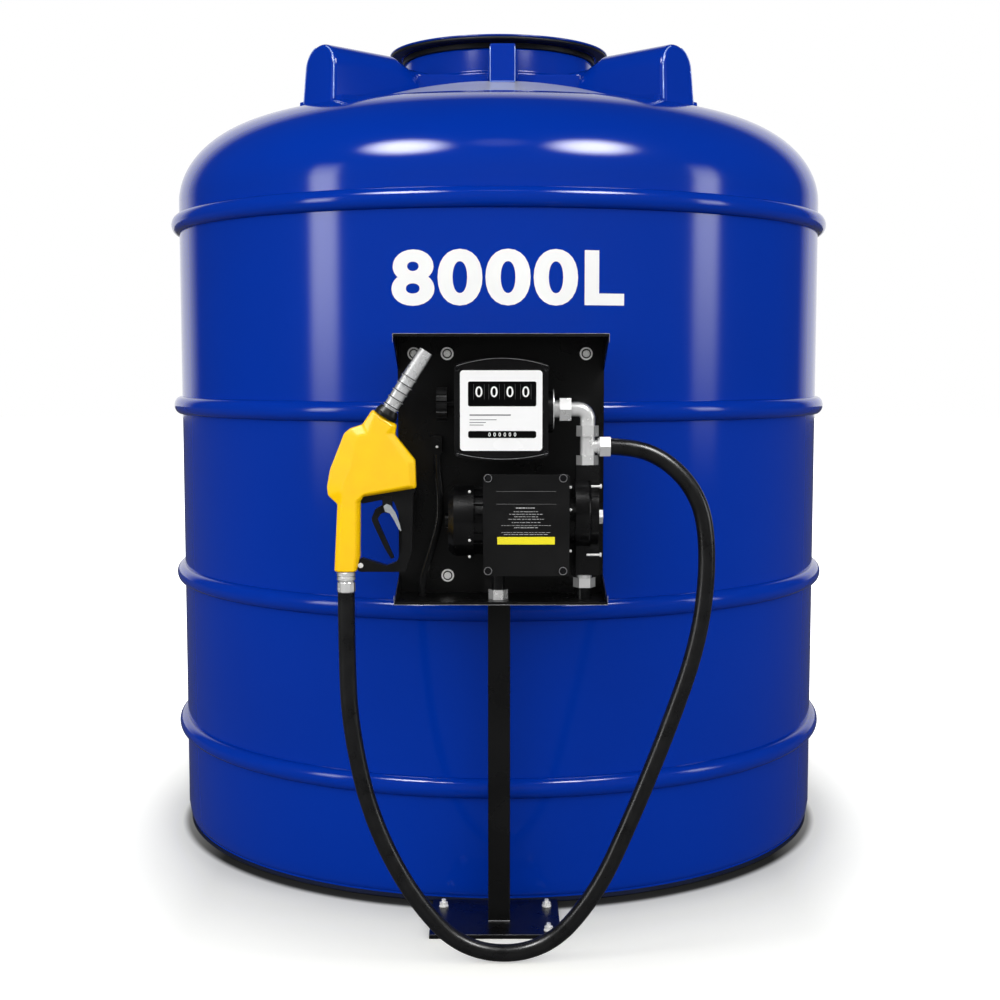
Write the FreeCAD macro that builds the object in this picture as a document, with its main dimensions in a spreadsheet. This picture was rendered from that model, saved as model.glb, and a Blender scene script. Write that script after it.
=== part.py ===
import FreeCAD, Part
import math
import os
import Sketcher
from FreeCAD import Placement, Rotation, Vector

# Above-ground diesel tank with a pump, a meter and a hand nozzle on a stand in front of it.
# Origin: centre of the tank's foot on the floor. +Z up, front towards -Y, +X to the right.
# Depths count outwards from the tank, heights on the panel from its shelf or its hood.

doc = FreeCAD.newDocument("diesel_tank_with_pump")
sheet = doc.addObject("Spreadsheet::Sheet", "Sizes")

# Driving dimensions, mm and degrees
DIMENSIONS = {
    # tank
    "tank_radius": 1070,
    "tank_wall": 12,
    "foot_height": 14,
    "foot_step": 8,
    "wall_top": 2054,
    "bead_depth": 26,
    "bead_height": 58,
    "shoulder_run": 364,
    "shoulder_rise": 267,
    "cone_rise": 99,
    # manhole
    "neck_radius": 318,
    "neck_wall": 12,
    "neck_height": 103,
    "seat_width": 35,
    "seat_ring_height": 9,
    "neck_ring_width": 18,
    "neck_ring_height": 43,
    "seal_thick": 26,
    "seal_lip": 6,
    "lid_overhang": 49,
    "lid_rim": 16,
    "lid_rise": 14,
    "tab_width": 71,
    "tab_shift": 11,
    "tab_reach": 48,
    "tab_height": 110,
    "tab_round": 14,
    # lifting lugs
    "lug_width": 143,
    "lug_height": 78,
    "lug_saddle": 46,
    "lug_overhang": 62,
    "lug_draft": 14,
    "lug_lean": 20,
    "lug_run": 70,
    "lug_ease": 4,
    "ridge_share": 0.36,
    "root_share": 0.25,
    "skirt_height": 16,
    "skirt_flare": 14,
    # stand
    "plate_width": 352,
    "plate_depth": 270,
    "plate_thick": 12,
    "plate_shift": -9,
    "anchor_inset": 32,
    "anchor_rear": 54,
    "post_side": 60,
    "post_wall": 4,
    "post_gap": 113,
    "post_shift": 2,
    "post_below_hood": 123,
    # panel
    "panel_width": 545,
    "panel_shift": 7,
    "panel_low": 915,
    "panel_height": 688,
    "panel_thick": 3,
    "panel_depth": 200,
    "gusset_high": 92,
    "gusset_low": 53,
    "lip_height": 8,
    "mount_left_gap": 87.5,
    "mount_right_gap": 9.5,
    "mount_low_gap": 17,
    "mount_high_gap": 100,
    "mount_thick": 4,
    "screw_drop": 49,
    "screw_rise": 50,
    "screw_left": 42.5,
    "screw_second": 130.5,
    "screw_right": 47.5,
    "washer_radius": 17,
    "screw_ring": 11.5,
    "screw_head": 8,
    # pump
    "head_radius": 88,
    "head_gap": 6,
    "head_thick": 40,
    "disc_thick": 19,
    "port_width": 60,
    "port_front": 24,
    "port_back": 36,
    "port_step": 2,
    "port_rise_share": 0.0538,
    "port_drop_share": 0.1046,
    "port_foot_share": 0.093,
    "outlet_share": 0.47,
    "outlet_shift": 7,
    "head_reach": 33,
    "head_bevel": 6,
    "disc_step": 4,
    "plug_across": 36,
    "plug_thick": 14,
    "plug_drop": 10,
    # motor and its switch box
    "motor_slim": 6,
    "motor_drop": 21,
    "motor_start": 202.5,
    "adapter_length": 21,
    "adapter_radius": 60,
    "cap_length": 65,
    "cap_step": 4,
    "cap_boss": 10,
    "cap_hub": 20,
    "cap_bevel": 14,
    "fin_height": 6,
    "fin_width": 4,
    "box_height": 250,
    "box_inset": 28,
    "box_depth": 36,
    "cover_thick": 10,
    "cover_lip": 3,
    "cover_round": 9,
    "cover_screw": 8,
    "cover_screw_inset": 12,
    "inlet_shift": 63,
    "inlet_forward": 10,
    "inlet_radius": 17,
    "inlet_across": 44,
    "boss_half": 25,
    "boss_drop": 34,
    # meter
    "meter_start": 152.5,
    "hood_share": 0.1119,
    "meter_gap_share": 0.1265,
    "meter_round": 14,
    "meter_arch": 17,
    "meter_belly": 9,
    "bezel_depth": 75,
    "line_inset": 20,
    "face_margin": 15,
    "face_thick": 8,
    "face_sink": 6,
    "knob_radius": 45,
    "knob_length": 27,
    "knob_gap": 19,
    "knob_rise": 14,
    "flange_sink": 7,
    "shaft_radius": 9,
    "shaft_depth": 12,
    # fittings
    "line_offset": 6,
    "line_share": 0.4915,
    "riser_gap": 48.5,
    "pipe_radius": 20,
    "flange_radius": 54,
    "flange_thick": 12,
    "collar_length": 18,
    "meter_nut": 30,
    "meter_nut_step": 8,
    "collar_girth": 24,
    "elbow_reach": 43,
    "nut_across": 50,
    "ferrule_gap": 31,
    "ferrule_length": 28,
    "branch_step": 2,
    "ring_step": 3,
    "ring_width": 5,
    # cable
    "cable_radius": 10,
    "clip_width": 26,
    "clip_depth": 34,
    "clip_height": 48,
    "clip_level": 375,
    "clip_inset": 91.5,
    "clip_round": 6,
    "cable_start": 104.5,
    "cable_start_out": 24,
    "cable_end": 65.5,
    "cable_end_out": 62,
    # nozzle
    "nozzle_standoff": 162,
    "nozzle_gap": 124.5,
    "nozzle_level": 82,
    "grip_half": 27,
    "grip_bevel": 14,
    "guard_half": 12,
    "lever_half": 8,
    "ear_gap": 2,
    "ear_thick": 4,
    "pin_radius": 4,
    "latch_thick": 3,
    "throat_width": 80,
    "collar_radius": 30,
    "collar_height": 24,
    "spout_lean": 32.5,
    "spout_radius": 20.5,
    "spout_length": 174,
    "spout_wall": 3,
    "spout_bore": 60,
    "spout_ring": 2.5,
    "spout_ring_gap": 23,
    "swivel_across": 44,
    "swivel_radius": 24.5,
    "swivel_ring": 24,
    "swivel_nut": 30,
    "holder_level": 310,
    "holder_height": 60,
    "holder_reach": 120,
    "holder_inset": 3.5,
    "holder_foot": 32,
    # hose
    "hose_radius": 22,
    "hose_start": 88,
    "hose_end": 153,
    # fits
    "fit_gap": 0.3,
    "pin_play": 0.05,
}
for row, (alias, value) in enumerate(DIMENSIONS.items(), start=1):
    sheet.set("A%d" % row, alias)
    sheet.set("B%d" % row, str(value))
    sheet.setAlias("B%d" % row, alias)
doc.recompute()


class Size:
    """A dimension that keeps its number together with the sheet formula it comes from."""

    def __init__(self, value, formula):
        self.value = float(value)
        self.formula = formula

    def __add__(self, other):
        other = size(other)
        return Size(self.value + other.value, "(%s + %s)" % (self.formula, other.formula))

    def __radd__(self, other):
        return size(other) + self

    def __sub__(self, other):
        other = size(other)
        return Size(self.value - other.value, "(%s - %s)" % (self.formula, other.formula))

    def __rsub__(self, other):
        return size(other) - self

    def __mul__(self, factor):
        factor = size(factor)
        return Size(self.value * factor.value, "(%s * %s)" % (self.formula, factor.formula))

    def __rmul__(self, factor):
        return size(factor) * self

    def __neg__(self):
        return Size(-self.value, "(-1 * %s)" % self.formula)


def size(item):
    """Takes a number, an alias of the sheet or a Size, and gives a Size."""
    if isinstance(item, Size):
        return item
    if isinstance(item, str):
        return Size(sheet.get(item), "Sizes.%s" % item)
    return Size(item, "%.9g" % item)


def num(item):
    """The number behind a Size or an alias, for shapes built in code."""
    return size(item).value


def spot(x, y, z):
    """A point from three sizes."""
    return Vector(num(x), num(y), num(z))


def place(obj, x=0, y=0, z=0, turn=None):
    """Puts an object at a point whose coordinates stay tied to the sheet."""
    obj.Placement = Placement(Vector(0, 0, 0), turn or Rotation())
    for key, item in (("x", x), ("y", y), ("z", z)):
        obj.setExpression("Placement.Base." + key, size(item).formula)


def origin_plane(body, role):
    """Finds one of a body's own origin planes or axes by its role."""
    for item in body.Origin.OriginFeatures:
        if item.Role == role:
            return item
    raise ValueError(role)


def outline(body, name, plane, loops):
    """A sketch of closed, fully dimensioned loops of straight lines on one of the planes."""
    sketch = body.newObject("Sketcher::SketchObject", name)
    sketch.AttachmentSupport = [(origin_plane(body, plane), "")]
    sketch.MapMode = "FlatFace"
    first = 0
    for loop in loops:
        corners = [(size(x), size(y)) for x, y in loop]
        spots = [Vector(x.value, y.value, 0) for x, y in corners]
        count = len(spots)
        for i in range(count):
            sketch.addGeometry(Part.LineSegment(spots[i], spots[(i + 1) % count]), False)
        for i in range(count):
            sketch.addConstraint(Sketcher.Constraint(
                "Coincident", first + i, 2, first + (i + 1) % count, 1))
        for i, (x, y) in enumerate(corners, start=first):
            for kind, item, axis in (("DistanceX", x, -2), ("DistanceY", y, -1)):
                if abs(item.value) < 1e-9:
                    sketch.addConstraint(Sketcher.Constraint("PointOnObject", i, 1, axis))
                    continue
                row = sketch.addConstraint(
                    Sketcher.Constraint(kind, -1, 1, i, 1, item.value))
                sketch.setExpression("Constraints[%d]" % row, item.formula)
        first += count
    return sketch


def new_body(label):
    """An empty body under the name of its piece."""
    body = doc.addObject("PartDesign::Body", label)
    body.Label = label
    return body


def turned(label, points, x=0, y=0, z=0, turn=None):
    """A body turned about its own Z axis from (radius, height) points."""
    body = new_body(label)
    sketch = outline(body, label + "_profile", "XZ_Plane", [points])
    solid = body.newObject("PartDesign::Revolution", label + "_turn")
    solid.Profile = sketch
    solid.ReferenceAxis = (sketch, ["V_Axis"])
    solid.Angle = 360
    body.Tip = solid
    place(body, x, y, z, turn)
    return body


def pad(label, plane, loops, length, x=0, y=0, z=0, turn=None):
    """A body raised from outlines on one of its planes."""
    body = new_body(label)
    sketch = outline(body, label + "_outline", plane, loops)
    solid = body.newObject("PartDesign::Pad", label + "_pad")
    solid.Profile = sketch
    solid.setExpression("Length", size(length).formula)
    body.Tip = solid
    place(body, x, y, z, turn)
    return body


def soften(body, kind, radius, wanted):
    """Rounds or bevels the edges of the last feature that a rule picks out."""
    doc.recompute()
    tip = body.Tip
    names = []
    for i, edge in enumerate(tip.Shape.Edges, start=1):
        if wanted(edge):
            names.append("Edge%d" % i)
    if not names:
        raise ValueError("no edge to soften on " + body.Label)
    item = body.newObject("PartDesign::" + kind, body.Name + "_" + kind.lower())
    item.Base = (tip, names)
    item.setExpression("Radius" if kind == "Fillet" else "Size", size(radius).formula)
    body.Tip = item
    return body


def rectangle(wide, deep):
    """A loop round the origin."""
    w = size(wide) * 0.5
    d = size(deep) * 0.5
    return [(-w, -d), (w, -d), (w, d), (-w, d)]


def box(label, x0, x1, y0, y1, z0, z1):
    """A plain block between two corners, as a primitive tied to the sheet."""
    item = doc.addObject("Part::Box", label)
    item.Label = label
    item.setExpression("Length", (size(x1) - x0).formula)
    item.setExpression("Width", (size(y1) - y0).formula)
    item.setExpression("Height", (size(z1) - z0).formula)
    place(item, x0, y0, z0)
    return item


def shaped(label, shape):
    """A piece whose shape is worked out in code from the sheet's sizes."""
    item = doc.addObject("Part::Feature", label)
    item.Label = label
    item.Shape = shape
    item.Placement = shape.Placement
    return item


def block(x0, x1, y0, y1, z0, z1):
    """The solid between two corners."""
    low = spot(x0, y0, z0)
    span = spot(x1, y1, z1) - low
    return Part.makeBox(span.x, span.y, span.z, low)


def rod(radius, length, base, direction):
    """A round bar from a point along a direction."""
    return Part.makeCylinder(num(radius), num(length), base, direction)


def hexagon(across, length, base, direction, start=0):
    """A hexagonal bar, flats across given, along a direction."""
    r = num(across) / math.sqrt(3)
    corners = [Vector(r * math.cos(math.radians(start + 60 * i)),
                      r * math.sin(math.radians(start + 60 * i)), 0) for i in range(6)]
    bar = Part.Face(Part.makePolygon(corners + corners[:1])).extrude(Vector(0, 0, num(length)))
    bar.Placement = Placement(base, Rotation(Vector(0, 0, 1), direction))
    return bar


def joined(first, *others):
    """One solid out of several that share material."""
    return first.fuse(list(others)).removeSplitter()


UP = Vector(0, 0, 1)
RIGHT = Vector(1, 0, 0)
FRONT = Vector(0, -1, 0)
BACK = Vector(0, 1, 0)
ALONG_X = Rotation(Vector(0, 1, 0), 90)
pieces = []

# Depths, outwards from the tank's axis
foot_radius = size("tank_radius") - "foot_step"
plate_middle = foot_radius + size("plate_depth") * 0.5
post_middle = foot_radius + "post_gap" + size("post_side") * 0.5
panel_front = foot_radius + "post_gap" + "post_side" + "panel_thick"
mount_front = panel_front + "mount_thick"
motor_out = mount_front + "head_gap" + "head_radius"
line_out = motor_out - "line_offset"
bezel_back = line_out - "line_inset"
meter_front = bezel_back + "bezel_depth"
box_back = motor_out + "head_radius"
box_front = box_back + "box_depth"
nozzle_out = panel_front + "nozzle_standoff"

# Places across, from the panel's two edges
panel_left = size("panel_shift") - size("panel_width") * 0.5
panel_right = size("panel_shift") + size("panel_width") * 0.5
mount_right = panel_right - "mount_right_gap"
riser = panel_right - "riser_gap"
elbow_start = riser - "elbow_reach"
nut_start = elbow_start - "meter_nut"
flange_end = nut_start - "collar_length"
meter_right = flange_end - "flange_thick"
meter_left = panel_left + "meter_start"
meter_middle = (meter_left + meter_right) * 0.5
motor_left = panel_left + "motor_start"
head_left = riser - "head_reach"
motor_right = head_left - "adapter_length"
nozzle_x = panel_left - "nozzle_gap"

# Heights, from the shelf up for the pump and from the hood down for the meter
panel_high = size("panel_low") + "panel_height"
shelf_top = size("panel_low") + "panel_thick"
port_low = shelf_top + size("panel_height") * "port_foot_share"
head_level = port_low + size("panel_height") * "port_drop_share" + "head_radius"
port_top = head_level + "head_radius" + size("panel_height") * "port_rise_share"
motor_radius = size("head_radius") - "motor_slim"
motor_level = head_level - "motor_drop"
meter_high = panel_high - size("panel_height") * "hood_share"
meter_low = motor_level + motor_radius + size("panel_height") * "meter_gap_share"
line_level = meter_high - (meter_high - meter_low) * "line_share"
riser_length = line_level - port_top
tee_base = port_top + riser_length * 0.168
tee_axis = tee_base + riser_length * 0.161
tee_top = tee_base + riser_length * 0.343
union_top = tee_top + riser_length * 0.196
nozzle_level = size("panel_low") + "nozzle_level"

# Tank wall with four half-round beads
BEAD_LEVELS = (0.1495, 0.3948, 0.6646, 0.9508)
HALF_ROUND = ((0, 0), (0.146, 0.707), (0.5, 1), (0.854, 0.707), (1, 0))
skin = [("tank_radius", "foot_height")]
for share in BEAD_LEVELS:
    for rise, depth in HALF_ROUND:
        skin.append((size("tank_radius") + size("bead_depth") * depth,
                     size("wall_top") * share + size("bead_height") * rise))
skin += [("tank_radius", "wall_top"), (size("tank_radius") - "tank_wall", "wall_top"),
         (size("tank_radius") - "tank_wall", "foot_height")]
pieces.append(turned("tank_wall", skin))

# Tank floor: a disc the wall stands on
pieces.append(soften(turned("tank_floor", [
    (0, 0), (foot_radius, 0), (foot_radius, "foot_height"), (0, "foot_height")]),
    "Chamfer", 4, lambda e: e.BoundBox.ZMax < 0.1 and e.BoundBox.XLength > 1000))

# Tank roof: elliptical shoulder, gentle cone, flat seat round the manhole
crown_radius = size("tank_radius") - "shoulder_run"
seat_radius = size("neck_radius") + "seat_width"
seat_level = size("wall_top") + "shoulder_rise" + "cone_rise"
bore_radius = size("neck_radius") - "neck_wall"


def shoulder(inward, steps):
    """The quarter ellipse between wall and cone, set inwards by the wall's thickness."""
    spots = []
    for i in range(steps + 1):
        a = math.pi / 2 * i / steps
        spots.append((crown_radius + (size("shoulder_run") - inward) * round(math.cos(a), 6),
                      size("wall_top") + (size("shoulder_rise") - inward) * round(math.sin(a), 6)))
    return spots


outside = shoulder(0, 8) + [(seat_radius, seat_level)]
inside = [(bore_radius, seat_level - "tank_wall")] + shoulder("tank_wall", 4)[::-1]
pieces.append(turned("tank_roof", outside + [(bore_radius, seat_level)] + inside))


def dome(lift):
    """All that lies under the roof's outer skin, moved up by a height."""
    rim = [Vector(num(r), 0, num(z)) for r, z in outside]
    rim += [Vector(0, 0, num(seat_level)), Vector(0, 0, num("wall_top")), rim[0]]
    solid = Part.Face(Part.makePolygon(rim)).revolve(Vector(), UP, 360)
    solid.translate(Vector(0, 0, num(lift)))
    return solid


# Manhole neck, seal and lid
ring_radius = size("neck_radius") + "neck_ring_width"
ring_low = seat_level + "seat_ring_height"
ring_high = ring_low + "neck_ring_height"
neck_top = seat_level + "neck_height"
lid_radius = size("neck_radius") + "lid_overhang"
pieces.append(turned("manhole_neck", [
    (bore_radius, seat_level), (seat_radius, seat_level), (seat_radius, ring_low),
    (ring_radius, ring_low), (ring_radius, ring_high), ("neck_radius", ring_high),
    ("neck_radius", neck_top), (bore_radius, neck_top)]))
pieces.append(turned("lid_seal", [
    (bore_radius, 0), (size("neck_radius") + "seal_lip", 0),
    (size("neck_radius") + "seal_lip", "seal_thick"), (bore_radius, "seal_thick")], z=neck_top))
pieces.append(turned("tank_lid", [
    (0, 0), (lid_radius, 0), (lid_radius, "lid_rim"),
    (lid_radius * 0.75, size("lid_rim") + size("lid_rise") * 0.4),
    (lid_radius * 0.4, size("lid_rim") + size("lid_rise") * 0.85),
    (0, size("lid_rim") + "lid_rise")], z=neck_top + "seal_thick"))

# Four lifting lugs: round-topped fins with drafted sides on a flared skirt
half = num("lug_width") / 2
wide = half + num("lug_draft")
crest = num(seat_level) + num("lug_height")
saddle = num(seat_level) + num("lug_saddle")
outer_end = num(crown_radius) + num("lug_overhang")
inner_end = num(seat_radius)
ridge = inner_end + (outer_end - inner_end) * num("ridge_share")
under = num("wall_top") + num("shoulder_rise") * num("root_share")
ease = num("lug_ease")
fin_side = [
    Vector(inner_end, -wide, under), Vector(outer_end + num("lug_lean"), -wide, under),
    Vector(outer_end, -wide, crest - ease), Vector(outer_end - ease, -wide, crest),
    Vector(ridge, -wide, crest), Vector(ridge - num("lug_run") * 0.4, -wide, crest - ease),
    Vector(ridge - num("lug_run"), -wide, saddle + ease), Vector(inner_end, -wide, saddle)]
fin = Part.Face(Part.makePolygon(fin_side + fin_side[:1])).extrude(Vector(0, 2 * wide, 0))
spring = crest - half
arch_line = Part.Wire([
    Part.LineSegment(Vector(0, -wide, under), Vector(0, wide, under)).toShape(),
    Part.LineSegment(Vector(0, wide, under), Vector(0, half, spring)).toShape(),
    Part.Arc(Vector(0, half, spring), Vector(0, 0, crest), Vector(0, -half, spring)).toShape(),
    Part.LineSegment(Vector(0, -half, spring), Vector(0, -wide, under)).toShape()])
fin = fin.common(Part.Face(arch_line).extrude(Vector(outer_end + 100, 0, 0)))
flare = num("skirt_flare")
plan = [Vector(inner_end, -half, under), Vector(outer_end + flare, -wide - flare, under),
        Vector(outer_end + flare, wide + flare, under), Vector(inner_end, half, under)]
skirt = Part.Face(Part.makePolygon(plan + plan[:1])).extrude(Vector(0, 0, crest - under))
skirt = skirt.common(dome("skirt_height"))
lug = joined(fin, skirt).cut(dome(0))
for label, angle in (("lug_front_right", -45), ("lug_back_right", 45),
                     ("lug_back_left", 135), ("lug_front_left", -135)):
    turned_lug = lug.copy()
    turned_lug.rotate(Vector(), UP, angle)
    pieces.append(shaped(label, turned_lug))

# Hasp tab in front of the neck, rounded at its upper corner
tab_left = size("tab_shift") - size("tab_width") * 0.5
tab_top = seat_level + "tab_height"
tab = block(tab_left, tab_left + "tab_width", -(seat_radius + "tab_reach"), -seat_radius,
            "wall_top", tab_top)
tab = tab.makeFillet(num("tab_round"), [e for e in tab.Edges if e.BoundBox.ZMin > num(tab_top) - 0.1
                          and e.BoundBox.YLength > 10])
pieces.append(shaped("hasp_tab", tab.cut(dome(0))))

# Base plate against the tank's foot, with its anchor bolts
pieces.append(soften(pad("base_plate", "XY_Plane", [rectangle("plate_width", "plate_depth")],
                         "plate_thick", x="plate_shift", y=-plate_middle),
                     "Fillet", 3, lambda e: e.BoundBox.ZLength > 5))
bolts = []
for side in (-1, 1):
    across = size("plate_shift") + (size("plate_width") * 0.5 - "anchor_inset") * side
    for out in (foot_radius + "anchor_rear", foot_radius + "plate_depth" - "anchor_inset"):
        foot = spot(across, -out, "plate_thick")
        bolts.append(joined(rod(13, 3, foot, UP), hexagon(19, 12, foot, UP), rod(5.5, 20, foot, UP)))
pieces.append(shaped("anchor_bolts", Part.makeCompound(bolts)))

# Square post, open inside
inner_side = size("post_side") - size("post_wall") * 2
post = pad("stand_post", "XY_Plane",
           [rectangle("post_side", "post_side"), rectangle(inner_side, inner_side)],
           panel_high - "post_below_hood" - "plate_thick",
           x="post_shift", y=-post_middle, z="plate_thick")
pieces.append(soften(post, "Fillet", 5, lambda e: e.BoundBox.ZLength > 100
                     and abs(e.BoundBox.XMin) > num("post_side") * 0.49))

# Folded panel: back sheet, hood, shelf, front lips and four side gussets
thick = num("panel_thick")
back_y = -num(panel_front)
tip_y = back_y - num("panel_depth")
left = num(panel_left)
right = num(panel_right)
low = num("panel_low")
high = num(panel_high)
lip = num("lip_height")
folds = [block(left, right, back_y, back_y + thick, low, high)]
for base, away in ((low, 1), (high, -1)):
    inner = base + away * thick
    edge = base + away * lip
    folds.append(block(left, right, tip_y, back_y, min(base, inner), max(base, inner)))
    folds.append(block(left, right, tip_y, tip_y + thick, min(base, edge), max(base, edge)))
for x in (left, right - thick):
    for base, reach in ((high, -num("gusset_high")), (low, num("gusset_low"))):
        turn = math.copysign(lip, reach)
        cheek = [Vector(x, back_y, base), Vector(x, tip_y, base), Vector(x, tip_y, base + turn),
                 Vector(x, back_y, base + reach)]
        folds.append(Part.Face(Part.makePolygon(cheek + cheek[:1])).extrude(Vector(thick, 0, 0)))
pieces.append(shaped("panel", joined(*folds)))

# Raised mounting sheet on the panel
pieces.append(box("mounting_plate", panel_left + "mount_left_gap", mount_right,
                  -mount_front, -panel_front,
                  size("panel_low") + "mount_low_gap", panel_high - "mount_high_gap"))

# Panel screws with round washers
screws = []
upper_row = panel_high - "screw_drop"
for across, level, out in ((panel_left + "screw_left", upper_row, panel_front),
                           (panel_left + "screw_second", upper_row, panel_front),
                           (panel_right - "screw_right", upper_row, panel_front),
                           (panel_left + "screw_second", size("panel_low") + "screw_rise",
                            mount_front)):
    seat = spot(across, -out, level)
    screw = joined(rod("washer_radius", 2, seat, FRONT), rod("screw_ring", 3.5, seat, FRONT),
                   rod("screw_head", 9, seat, FRONT))
    screws.append(screw.cut(hexagon(7, 5, seat + FRONT * 5, FRONT)))
pieces.append(shaped("panel_screws", Part.makeCompound(screws)))

# Meter: chamber on the mounting sheet, arched housing in front, white face plate
face_y = -num(meter_front)
line_y = -num(line_out)
ml = num(meter_left)
mr = num(meter_right)
middle = num(meter_middle)
mb = num(meter_low)
mt = num(meter_high)
rim = Part.Wire([
    Part.LineSegment(Vector(ml, face_y, mb), Vector(ml, face_y, mt)).toShape(),
    Part.Arc(Vector(ml, face_y, mt), Vector(middle, face_y, mt + num("meter_arch")),
             Vector(mr, face_y, mt)).toShape(),
    Part.LineSegment(Vector(mr, face_y, mt), Vector(mr, face_y, mb)).toShape(),
    Part.Arc(Vector(mr, face_y, mb), Vector(middle, face_y, mb - num("meter_belly")),
             Vector(ml, face_y, mb)).toShape()])
housing = Part.Face(rim).extrude(Vector(0, num("bezel_depth"), 0))
housing = housing.makeFillet(num("meter_round"), [e for e in housing.Edges if e.BoundBox.YLength > 30])
chamber = rod((meter_right - meter_left) * 0.38, bezel_back - mount_front,
              Vector(middle, -num(mount_front), (mb + mt) / 2), FRONT)
margin = num("face_margin")
recess = block(ml + margin, mr - margin, face_y, face_y + num("face_sink"),
               mb + margin, mt - margin)
line_z = num(line_level)
flange_z = line_z - num("flange_sink")
outlet = rod("flange_radius", size("flange_thick") + 2, Vector(mr - 2, line_y, flange_z), RIGHT)
knob_z = num(line_level + "knob_rise")
shaft_bore = rod(size("shaft_radius") + "pin_play", size("shaft_depth") + 4,
                 Vector(ml - 2, line_y, knob_z), RIGHT)
screw_holes = [rod(5, 5, Vector(x, face_y - 1, z), BACK)
               for x in (ml + 8, mr - 8) for z in (mb + 8, mt - 5)]
meter = joined(housing, chamber, outlet).cut([recess, shaft_bore] + screw_holes)
pieces.append(shaped("meter_housing", meter))
face_edge = face_y + num("face_sink")
face_plate = block(ml + margin + 0.5, mr - margin - 0.5, face_edge - num("face_thick"), face_edge,
                   mb + margin + 0.5, mt - margin - 0.5)
face_plate = face_plate.makeFillet(9, [e for e in face_plate.Edges if e.BoundBox.YLength > 5])
pieces.append(shaped("meter_face", face_plate))

# Reset knob: a ridged wheel on a short shaft, turning about X
RIDGES = 14
knob_x = ml - num("knob_gap") - num("knob_length")
teeth = []
for i in range(RIDGES):
    for share, reach in ((0.0, 0.9), (0.15, 1.0), (0.55, 1.0), (0.7, 0.9)):
        a = 2 * math.pi * (i + share) / RIDGES
        r = num("knob_radius") * reach
        teeth.append(Vector(knob_x, line_y + r * math.cos(a), knob_z + r * math.sin(a)))
wheel = Part.Face(Part.makePolygon(teeth + teeth[:1])).extrude(Vector(num("knob_length"), 0, 0))
shaft = rod("shaft_radius", size("knob_gap") + "shaft_depth" + 1,
            Vector(knob_x + num("knob_length") - 1, line_y, knob_z), RIGHT)
pieces.append(shaped("reset_knob", joined(wheel, shaft)))


def tube(points, radius, share=0.45):
    """Sweeps a circle along runs whose corners are rounded by tangent arcs."""
    spots = [spot(*p) for p in points]
    edges = []
    start = spots[0]
    for i in range(1, len(spots) - 1):
        into = spots[i] - spots[i - 1]
        out = spots[i + 1] - spots[i]
        turn = into.getAngle(out)
        reach = share * min(into.Length, out.Length)
        bend = reach / math.tan(turn / 2)
        a = spots[i] - into.normalize() * reach
        b = spots[i] + out.normalize() * reach
        inward = ((a + b) * 0.5 - spots[i]).normalize()
        crown = spots[i] + inward * (bend / math.cos(turn / 2) - bend)
        edges.append(Part.LineSegment(start, a).toShape())
        edges.append(Part.Arc(a, crown, b).toShape())
        start = b
    edges.append(Part.LineSegment(start, spots[-1]).toShape())
    ring = Part.Wire(Part.makeCircle(num(radius), spots[0], spots[1] - spots[0]))
    return Part.Wire(edges).makePipeShell([ring], True, False)


# Fittings from the meter to the tee and the hose
nut = hexagon(size("nut_across") + "meter_nut_step", "meter_nut", spot(nut_start, line_y, line_z), RIGHT, 30)
neck = rod("collar_girth", "collar_length", spot(flange_end, line_y, line_z), RIGHT)
pieces.append(shaped("elbow_nut", joined(nut, neck)))
pieces.append(shaped("elbow", tube([
    (elbow_start, line_y, line_level), (riser, line_y, line_level), (riser, line_y, union_top)],
    "pipe_radius", 0.6)))
pieces.append(shaped("union_nut", hexagon("nut_across", union_top - tee_top,
                                          spot(riser, line_y, tee_top), UP)))
ferrule_start = riser + "ferrule_gap"
run = rod("pipe_radius", tee_top - tee_base, spot(riser, line_y, tee_base), UP)
branch = rod(size("pipe_radius") - "branch_step", "ferrule_gap",
             spot(riser, line_y, tee_axis), RIGHT)
ring = rod(size("pipe_radius") + "ring_step", "ring_width",
           spot(ferrule_start - "ring_width", line_y, tee_axis), RIGHT)
pieces.append(shaped("tee", joined(run, branch, ring)))
pieces.append(shaped("tee_lower_nut", hexagon("nut_across", tee_base - port_top,
                                              spot(riser, line_y, port_top), UP)))
mouth = spot(ferrule_start, line_y, tee_axis)
hose_bore = rod(size("hose_radius") + "fit_gap", size("ferrule_length") + 10, mouth, RIGHT)
pieces.append(shaped("hose_ferrule", hexagon("nut_across", "ferrule_length", mouth, RIGHT, 30)
                     .cut(hose_bore)))

# Pump: round head, casting with upper and lower port, plug, outlet down to the shelf
pump_y = -num(motor_out)
head_z = num(head_level)
head_r = num("head_radius")
pieces.append(turned("pump_head", [
    (0, 0), ("head_radius", 0), ("head_radius", size("head_thick") - "head_bevel"),
    (size("head_radius") - "head_bevel", "head_thick"), (0, "head_thick")],
    head_left, -motor_out, head_level, ALONG_X))
disc_x = head_left + "head_thick"
disc = rod(head_r - num("disc_step"), "disc_thick", spot(disc_x, pump_y, head_z), RIGHT)
arm = num("port_width") / 2
fore = pump_y - num("port_front")
rear = pump_y + num("port_back")
step = num("port_step")
upper = block(riser - arm, riser + arm, fore, rear, head_level, port_top)
lower = block(riser - arm, riser + arm, fore - step, rear - step, port_low, head_level)
room = rod(head_r + num("fit_gap"), 100, spot(disc_x - 100, pump_y, head_z), RIGHT)
pieces.append(shaped("pump_casting", joined(disc, upper, lower).cut(room)))
pieces.append(shaped("pump_plug", hexagon(
    "plug_across", "plug_thick", spot(disc_x + "disc_thick", pump_y, head_level - "plug_drop"),
    RIGHT, 30).cut(joined(upper, lower))))
outlet_low = shelf_top + (port_low - shelf_top) * "outlet_share"
outlet_x = riser - "outlet_shift"
outlet_nut = hexagon("nut_across", (port_low - outlet_low) * 0.75,
                     spot(outlet_x, pump_y, outlet_low), UP)
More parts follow.
